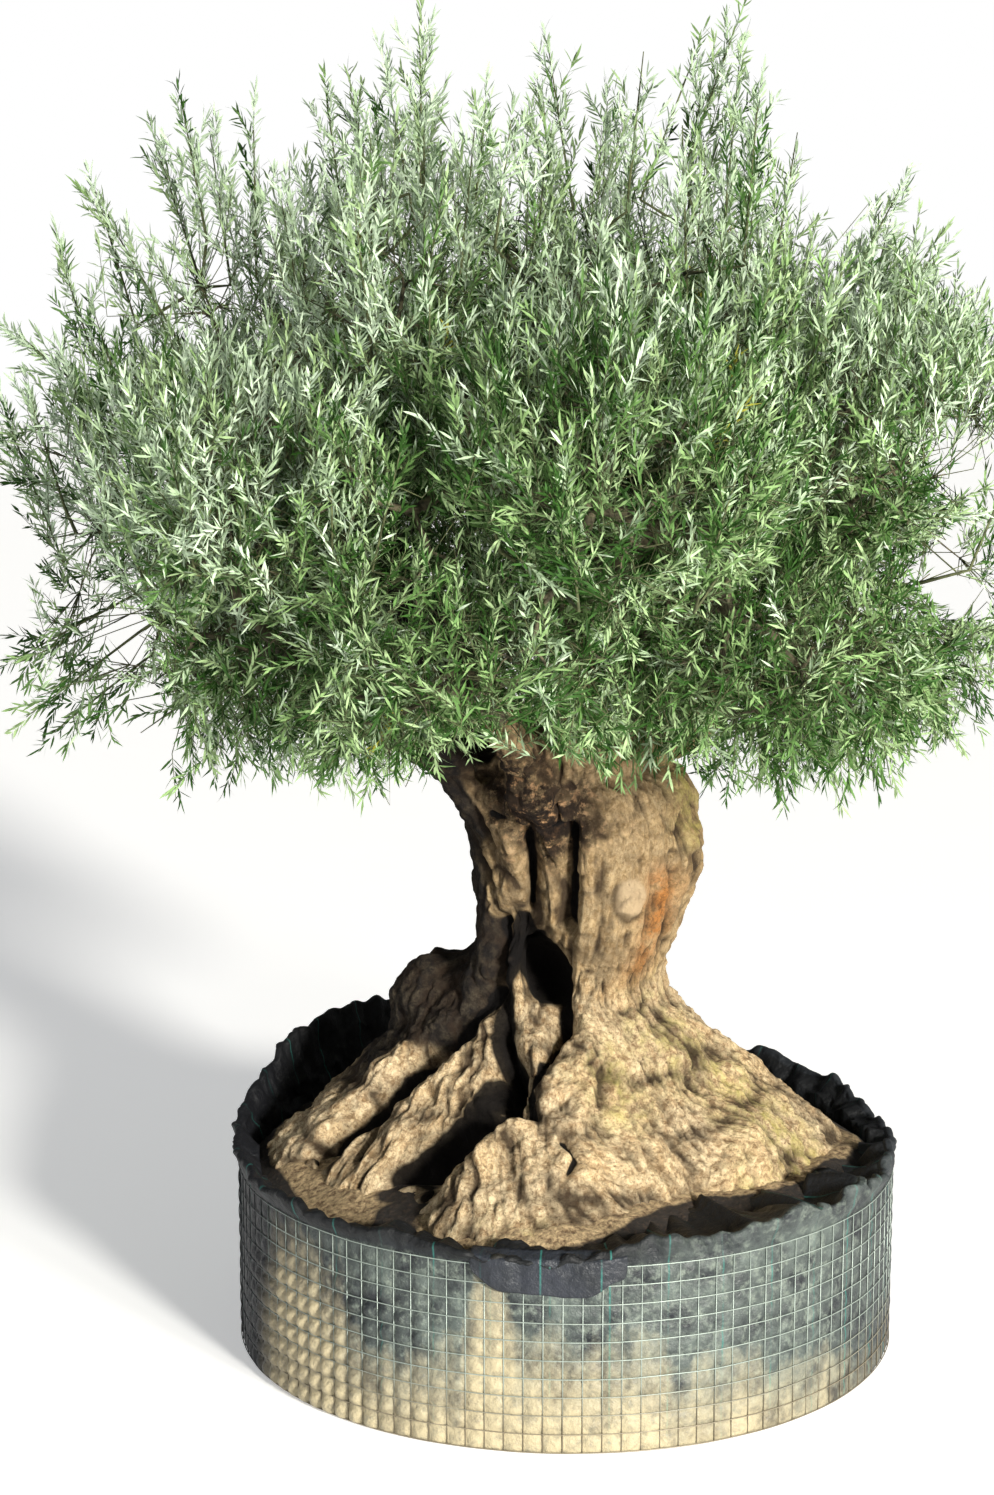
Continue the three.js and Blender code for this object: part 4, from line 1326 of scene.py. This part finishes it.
def dress_leaders(leaders, rng):
    """Leafy stalks with side shoots that shorten towards the tip, so each is a slim plume."""
    bases = []
    headings = []
    lengths = []
    for foot, tip in leaders:
        axis = tip - foot
        tall = np.linalg.norm(axis)
        axis = axis / tall
        first = unit(np.cross(axis, rng.normal(size=3)))
        second = np.cross(axis, first)
        for part in range(int(tall / STALK_STEP)):
            bases.append(tip - axis * STALK_STEP * (part + 1))
            headings.append(unit(axis + rng.normal(0, 0.05, 3)))
            lengths.append(0.13)
        turn = rng.uniform(0, TURN)
        along = 0.02
        while along < tall - 0.09:
            turn += SIDE_TURN
            side = math.cos(turn) * first + math.sin(turn) * second
            spread = math.radians(rng.uniform(18, 36))
            bases.append(foot + axis * along)
            onward = axis * math.cos(spread) + side * math.sin(spread)
            headings.append(unit(onward + rng.normal(0, 0.07, 3)))
            lengths.append(0.07 + 0.11 * (1 - along / tall) * rng.uniform(0.6, 1.2))
            along += SIDE_STEP
    bases = np.array(bases)
    kept = rng.random(len(bases)) > gap_at(bases)
    return bases[kept], np.array(headings)[kept], np.array(lengths)[kept]


# ---- crown: limbs ----

FORK_SHARE = 14  # a limb that carries no more shoots than this bears them itself
SORTING_ROUNDS = 7
LIMB_GROWTH = 0.00125  # the radius of a limb that carries one shoot
THICK_LIMB = 0.008  # limbs of a larger radius than this are made rounder
TWIG_RADII = (0.0019, 0.0009)  # at the foot and at the tip
PLUME_RADII = (0.0055, 0.0014)


def bough_ends():
    """Where each bough stops inside the foliage, and the way it points there."""
    ends = []
    head = np.array((0, 0, FORK))
    for name in BOUGHS:
        body = solid_copy(name)
        points = points_of(body.data)
        far_first = np.argsort(-np.linalg.norm(points - head, axis=1))
        end = points[far_first[:9]].mean(0)
        before = points[far_first[9:17]].mean(0)
        ends.append((end, unit(end - before)))
        bpy.data.objects.remove(body)
    return ends


def split_share(points, parts, rng):
    """Sorts points into a few close groups."""
    middles = points[rng.choice(len(points), parts, replace=False)]
    for _ in range(SORTING_ROUNDS):
        away = np.linalg.norm(points[:, None] - middles[None], axis=2)
        group = away.argmin(1)
        for part in range(parts):
            if (group == part).any():
                middles[part] = points[group == part].mean(0)
    return group


def thickness(shoots):
    """The radius of a limb that carries a number of shoots."""
    return LIMB_GROWTH * max(shoots, 1) ** 0.5


def bend(start, heading, end, steps):
    """A smooth path that leaves the start along its heading and curves to the end."""
    reach = np.linalg.norm(end - start)
    first = start + heading * reach * 0.4
    second = end - (end - start) * 0.3 + np.array((0, 0, 0.05)) * reach
    share = np.linspace(0, 1, steps)[:, None]
    rest = 1 - share
    from_start = rest**3 * start + 3 * rest**2 * share * first
    return from_start + 3 * rest * share**2 * second + share**3 * end


def grow(limbs, twigs, start, heading, mine, bases, rng):
    """A limb runs towards the middle of its share of shoots, then forks, down to the twigs."""
    middle = bases[mine].mean(0)
    few = len(mine) <= FORK_SHARE
    end = start + (middle - start) * (0.85 if few else rng.uniform(0.5, 0.65))
    path = bend(start, heading, end, 5)
    thin = thickness(len(mine) * (0.25 if few else 0.8))
    limbs.append((path, thickness(len(mine)), thin))
    onward = unit(path[-1] - path[-2])
    if few:
        for shoot in mine:
            gap = np.linalg.norm(path - bases[shoot], axis=1)
            joint = min(int(gap.argmin()), 3)
            twigs[shoot] = path[joint + 1] if joint == 0 else path[joint]
        return
    parts = 2 if len(mine) < 40 else int(rng.integers(2, 4))
    group = split_share(bases[mine], parts, rng)
    for part in range(parts):
        share = mine[group == part]
        if len(share):
            grow(limbs, twigs, path[-1], onward, share, bases, rng)


def tubes(paths, starts, ends, sides):
    """Closed tapering tubes along paths that have the same number of points each."""
    paths = np.asarray(paths)
    count, steps, _ = paths.shape
    share = np.linspace(0, 1, steps)
    radius = np.outer(starts, 1 - share) + np.outer(ends, share)
    ahead = unit(np.gradient(paths, axis=1))
    side = unit(np.cross(ahead[:, 0], np.array((0.31, 0.87, 0.39))))
    rings = []
    for step in range(steps):
        along = ahead[:, step]
        side = unit(side - along * (side * along).sum(1, keepdims=True))
        across = np.cross(along, side)
        for turn in TURN * np.arange(sides) / sides:
            offset = math.cos(turn) * side + math.sin(turn) * across
            rings.append(paths[:, step] + radius[:, step, None] * offset)
    points = np.stack(rings, 1).reshape(-1, 3)
    first = (np.arange(count) * steps * sides)[:, None]
    walls = []
    for step in range(steps - 1):
        for turn in range(sides):
            here = step * sides + turn
            beside = step * sides + (turn + 1) % sides
            walls.append(first + np.array([here, beside, beside + sides, here + sides]))
    foot = first + np.arange(sides)[::-1]
    tip = first + (steps - 1) * sides + np.arange(sides)
    return points, [np.concatenate(walls), foot, tip]


def stack_meshes(parts):
    """Joins several sets of points and faces into one, with faces of the same kind together."""
    points = []
    by_size = {}
    start = 0
    for some_points, groups in parts:
        for group in groups:
            by_size.setdefault(group.shape[1], []).append(group + start)
        points.append(some_points)
        start += len(some_points)
    return np.concatenate(points), [np.concatenate(groups) for groups in by_size.values()]


# ---- crown: leaves ----

# A leaf's outline: share of its length, and half width as a share of its full half width.
OUTER_OUTLINE = ((0.0, 0.0), (0.28, 0.92), (0.68, 0.85), (1.0, 0.0))
INNER_OUTLINE = ((0.0, 0.0), (0.45, 1.0), (1.0, 0.0))  # for leaves that stand deeper in the crown
OUTER_DEPTH = 0.045
LEAF_LENGTH = 0.043
LEAF_WIDTH = 0.0064
FIRST_PAIR = 0.10  # share of the shoot below its first leaves
LEAF_SPREAD = 42  # degrees between a leaf and its shoot, at the shoot's foot
LEAF_CLOSING = 20  # degrees less at the shoot's tip
LEAF_UNEVEN = 16  # degrees
LEAF_CURLS = (-0.36, 0.24)
LEAF_ROLL = 0.8  # radians

# The colours of leaves: each shoot takes one, and some of its leaves show a silvery underside.
LEAF_TINTS = {
    "silver": tone(181, 199, 172),
    "pale": tone(150, 171, 137),
    "fresh": tone(137, 160, 114),
    "green": tone(116, 144, 91),
    "deep": tone(42, 75, 25),
    "dusky": tone(80, 112, 58),
    "yellowing": tone(160, 158, 62),
}


def deal_tints(tips, high, rng):
    """Deals a tint to each shoot: silvery and pale high up, greener and darker low down. This is partly the
    leaves' own mix, partly painted light on the upper crown and painted shade low in it.
    """
    clump = 0.5 + 0.5 * lumps(tips, 0.22, 71)
    odds = np.stack(
        [
            0.005 + 0.46 * high**2 + 0.02 * clump,
            0.06 + 0.34 * high + 0.12 * clump,
            0.24 + 0.08 * clump,
            0.34 - 0.26 * high,
            0.45 - 0.43 * high + 0.10 * (1 - clump),
            0.16 - 0.10 * high + 0.08 * (1 - clump),
            0.003 + 0 * clump,
        ],
        1,
    )
    edge = np.cumsum(odds / odds.sum(1, keepdims=True), 1)
    return (rng.random((len(tips), 1)) > edge).sum(1)


def leaf_frames(base, heading, length, rng):
    """Leaves in crossed pairs up every shoot: the foot, the way and the face of each leaf."""
    count = len(base)
    share = np.linspace(FIRST_PAIR, 1.0, LEAF_PAIRS)
    sag = unit(np.cross(heading, rng.normal(size=(count, 3))))
    curve = rng.uniform(-0.12, 0.12, count)
    first = unit(np.cross(heading, rng.normal(size=(count, 3))))
    second = np.cross(heading, first)
    feet = []
    ways = []
    faces = []
    for number, along in enumerate(share):
        spot = base + heading * (length * along)[:, None] + sag * (curve * length * along**2)[:, None]
        turn = 0.5 * math.pi * number + rng.normal(0, 0.45, count)
        side = np.cos(turn)[:, None] * first + np.sin(turn)[:, None] * second
        for sign in (-1, 1):
            spread = rng.normal(LEAF_SPREAD - LEAF_CLOSING * along, LEAF_UNEVEN, count)
            angle = np.radians(spread)[:, None]
            way = heading * np.cos(angle) + sign * side * np.sin(angle)
            face = heading * np.sin(angle) - sign * side * np.cos(angle)
            feet.append(spot)
            ways.append(way)
            faces.append(face)
    return np.stack(feet, 1), np.stack(ways, 1), np.stack(faces, 1)


def leaf_mesh(feet, ways, faces, outline, rng):
    """Slim leaves with pointed ends, each curved a little along its length."""
    count = len(feet)
    roll = rng.normal(0, LEAF_ROLL, count)[:, None]
    across = np.cross(ways, faces)
    face = faces * np.cos(roll) + across * np.sin(roll)
    across = np.cross(ways, face)
    length = LEAF_LENGTH * rng.uniform(0.6, 1.25, count)
    width = LEAF_WIDTH * rng.uniform(0.8, 1.15, count)
    curl = rng.uniform(*LEAF_CURLS, count)
    rows = []
    for along, broad in outline:
        spine = feet + ways * (length * along)[:, None]
        spine = spine + face * (curl * length * along**2)[:, None]
        half = across * (0.5 * width * broad)[:, None]
        rows.extend([spine] if broad == 0 else [spine - half, spine + half])
    points = np.stack(rows, 1).reshape(-1, 3)
    corners = len(rows)
    first = (np.arange(count) * corners)[:, None]
    tips = np.array([corners - 3, corners - 2, corners - 1])
    groups = [np.concatenate([first + np.array([0, 2, 1]), first + tips])]
    if corners == 6:
        groups.append(first + np.array([1, 2, 4, 3]))
    return points, groups


def mottled_material(name, roughness, noise, reach, darker, lighter, **values):
    """A material that wanders between a darker and a lighter colour, and the noise that it follows."""
    paint = Paint(name, roughness, **values)
    vary = paint.noise(*noise)
    paint.wire_up("Base Color", paint.blend(paint.spread(vary, *reach), darker, lighter))
    return paint, vary


def leaf_material(name, colour):
    darker = tuple(0.72 * part for part in colour)
    lighter = tuple(min(1.25 * part, 1) for part in colour)
    gloss = {"Specular_IOR_Level": 0.2}
    leaf, _ = mottled_material("leaf_" + name, 0.65, (35, 2), (0.3, 0.7), darker, lighter, **gloss)
    leaf.roughen((leaf.noise(260, 2), 0.15, 0.001))
    return leaf


def wood_material(name, light, dark):
    wood, streak = mottled_material(name, 0.85, (55, 4, 0.6), (0.35, 0.65), dark, light)
    wood.roughen((streak, 0.4, 0.003))
    return wood


def make_crown():
    rng = np.random.default_rng(20)
    space = measure_space()
    base, heading, length = place_shoots(space, rng)
    leaders = find_leaders()
    leaders.extend((np.array(foot), np.array(tip)) for foot, tip in STRAYS)
    leaders.extend(find_plumes(space, leaders, rng))
    side_base, side_heading, side_length = dress_leaders(leaders, rng)

    feet = np.array([foot for foot, _ in leaders])
    bases = np.concatenate([base, feet])
    limbs = []
    joints = np.zeros((len(bases), 3))
    ends = bough_ends()
    away = np.linalg.norm(bases[:, None] - np.array([end for end, _ in ends])[None], axis=2)
    nearest = away.argmin(1)
    for number, (end, onward) in enumerate(ends):
        mine = np.flatnonzero(nearest == number)
        if len(mine):
            grow(limbs, joints, end - 0.05 * onward, onward, mine, bases, rng)

    make_limbs(limbs)
    make_twigs(joints, base, heading, length, leaders)
    deep = look_up(space, "depth", base + heading * (0.7 * length)[:, None]) > OUTER_DEPTH
    shoots = (base, heading, length, deep)
    side_shoots = (side_base, side_heading, side_length, np.zeros(len(side_base), bool))
    make_leaves(*map(np.concatenate, zip(shoots, side_shoots)), rng)


def make_limbs(limbs):
    groups = []
    for thick, sides in ((True, 7), (False, 4)):
        some = [limb for limb in limbs if (limb[1] > THICK_LIMB) == thick]
        paths, starts, ends = zip(*some)
        groups.append(tubes(paths, starts, ends, sides))
    piece = mesh_piece("limbs", *stack_meshes(groups))
    smooth(piece)
    place(piece, wood_material("limb_bark", tone(96, 90, 66), tone(50, 47, 33)), "limb", *MASSES)


def make_twigs(joints, base, heading, length, leaders):
    count = len(base)
    tips = base + heading * (length * 0.97)[:, None]
    twig_paths = np.stack([joints[:count], base, tips], 1)
    parts = [tubes(twig_paths, *np.repeat([TWIG_RADII], count, 0).T, 3)]
    leader_paths = []
    for joint, (foot, tip) in zip(joints[count:], leaders):
        leader_paths.append([joint, foot, foot + (tip - foot) * 0.5, foot + (tip - foot) * 0.9])
    parts.append(tubes(leader_paths, *np.repeat([PLUME_RADII], len(leaders), 0).T, 5))
    piece = mesh_piece("twigs", *stack_meshes(parts))
    place(piece, wood_material("twig_bark", tone(92, 98, 60), tone(50, 55, 31)), "limb")


def make_leaves(base, heading, length, deep, rng):
    tips = base + heading * length[:, None]
    height = np.clip((tips[:, 2] - CROWN_FOOT) / CROWN_TALL, 0, 1)
    # sides and high lean the tints pale and silver high up and on the crown's left, as painted light; low
    # down they lean dark, as painted shade.
    sides = 0.36 * ease(-tips[:, 0], 0.2, 1.0) + 0.12 * ease(tips[:, 0], 0.2, 0.9)
    high = ease(height + sides, 0.35, 0.85)
    tint = deal_tints(tips, high, rng)
    feet, ways, faces = leaf_frames(base, heading, length, rng)
    names = list(LEAF_TINTS)
    # Silver undersides show more often high up, as part of the painted light there.
    shown = np.repeat(tint[:, None], feet.shape[1], 1)
    turned = rng.random(shown.shape)
    shown = np.where(turned < 0.01 + 0.12 * high[:, None] ** 2, names.index("silver"), shown)
    for number, (name, colour) in enumerate(LEAF_TINTS.items()):
        parts = []
        for outline, chosen in ((OUTER_OUTLINE, ~deep), (INNER_OUTLINE, deep)):
            mine = (shown == number) & chosen[:, None]
            parts.append(leaf_mesh(feet[mine], ways[mine], faces[mine], outline, rng))
        piece = mesh_piece("leaves_" + name, *stack_meshes(parts))
        smooth(piece)
        place(piece, leaf_material(name, colour), "leaf", *MASSES)


# ---- making it all ----

add_camera()
add_studio()
make_earth()
make_lining()
make_cage()
make_flap()
make_trunk_and_boughs()
make_crown()
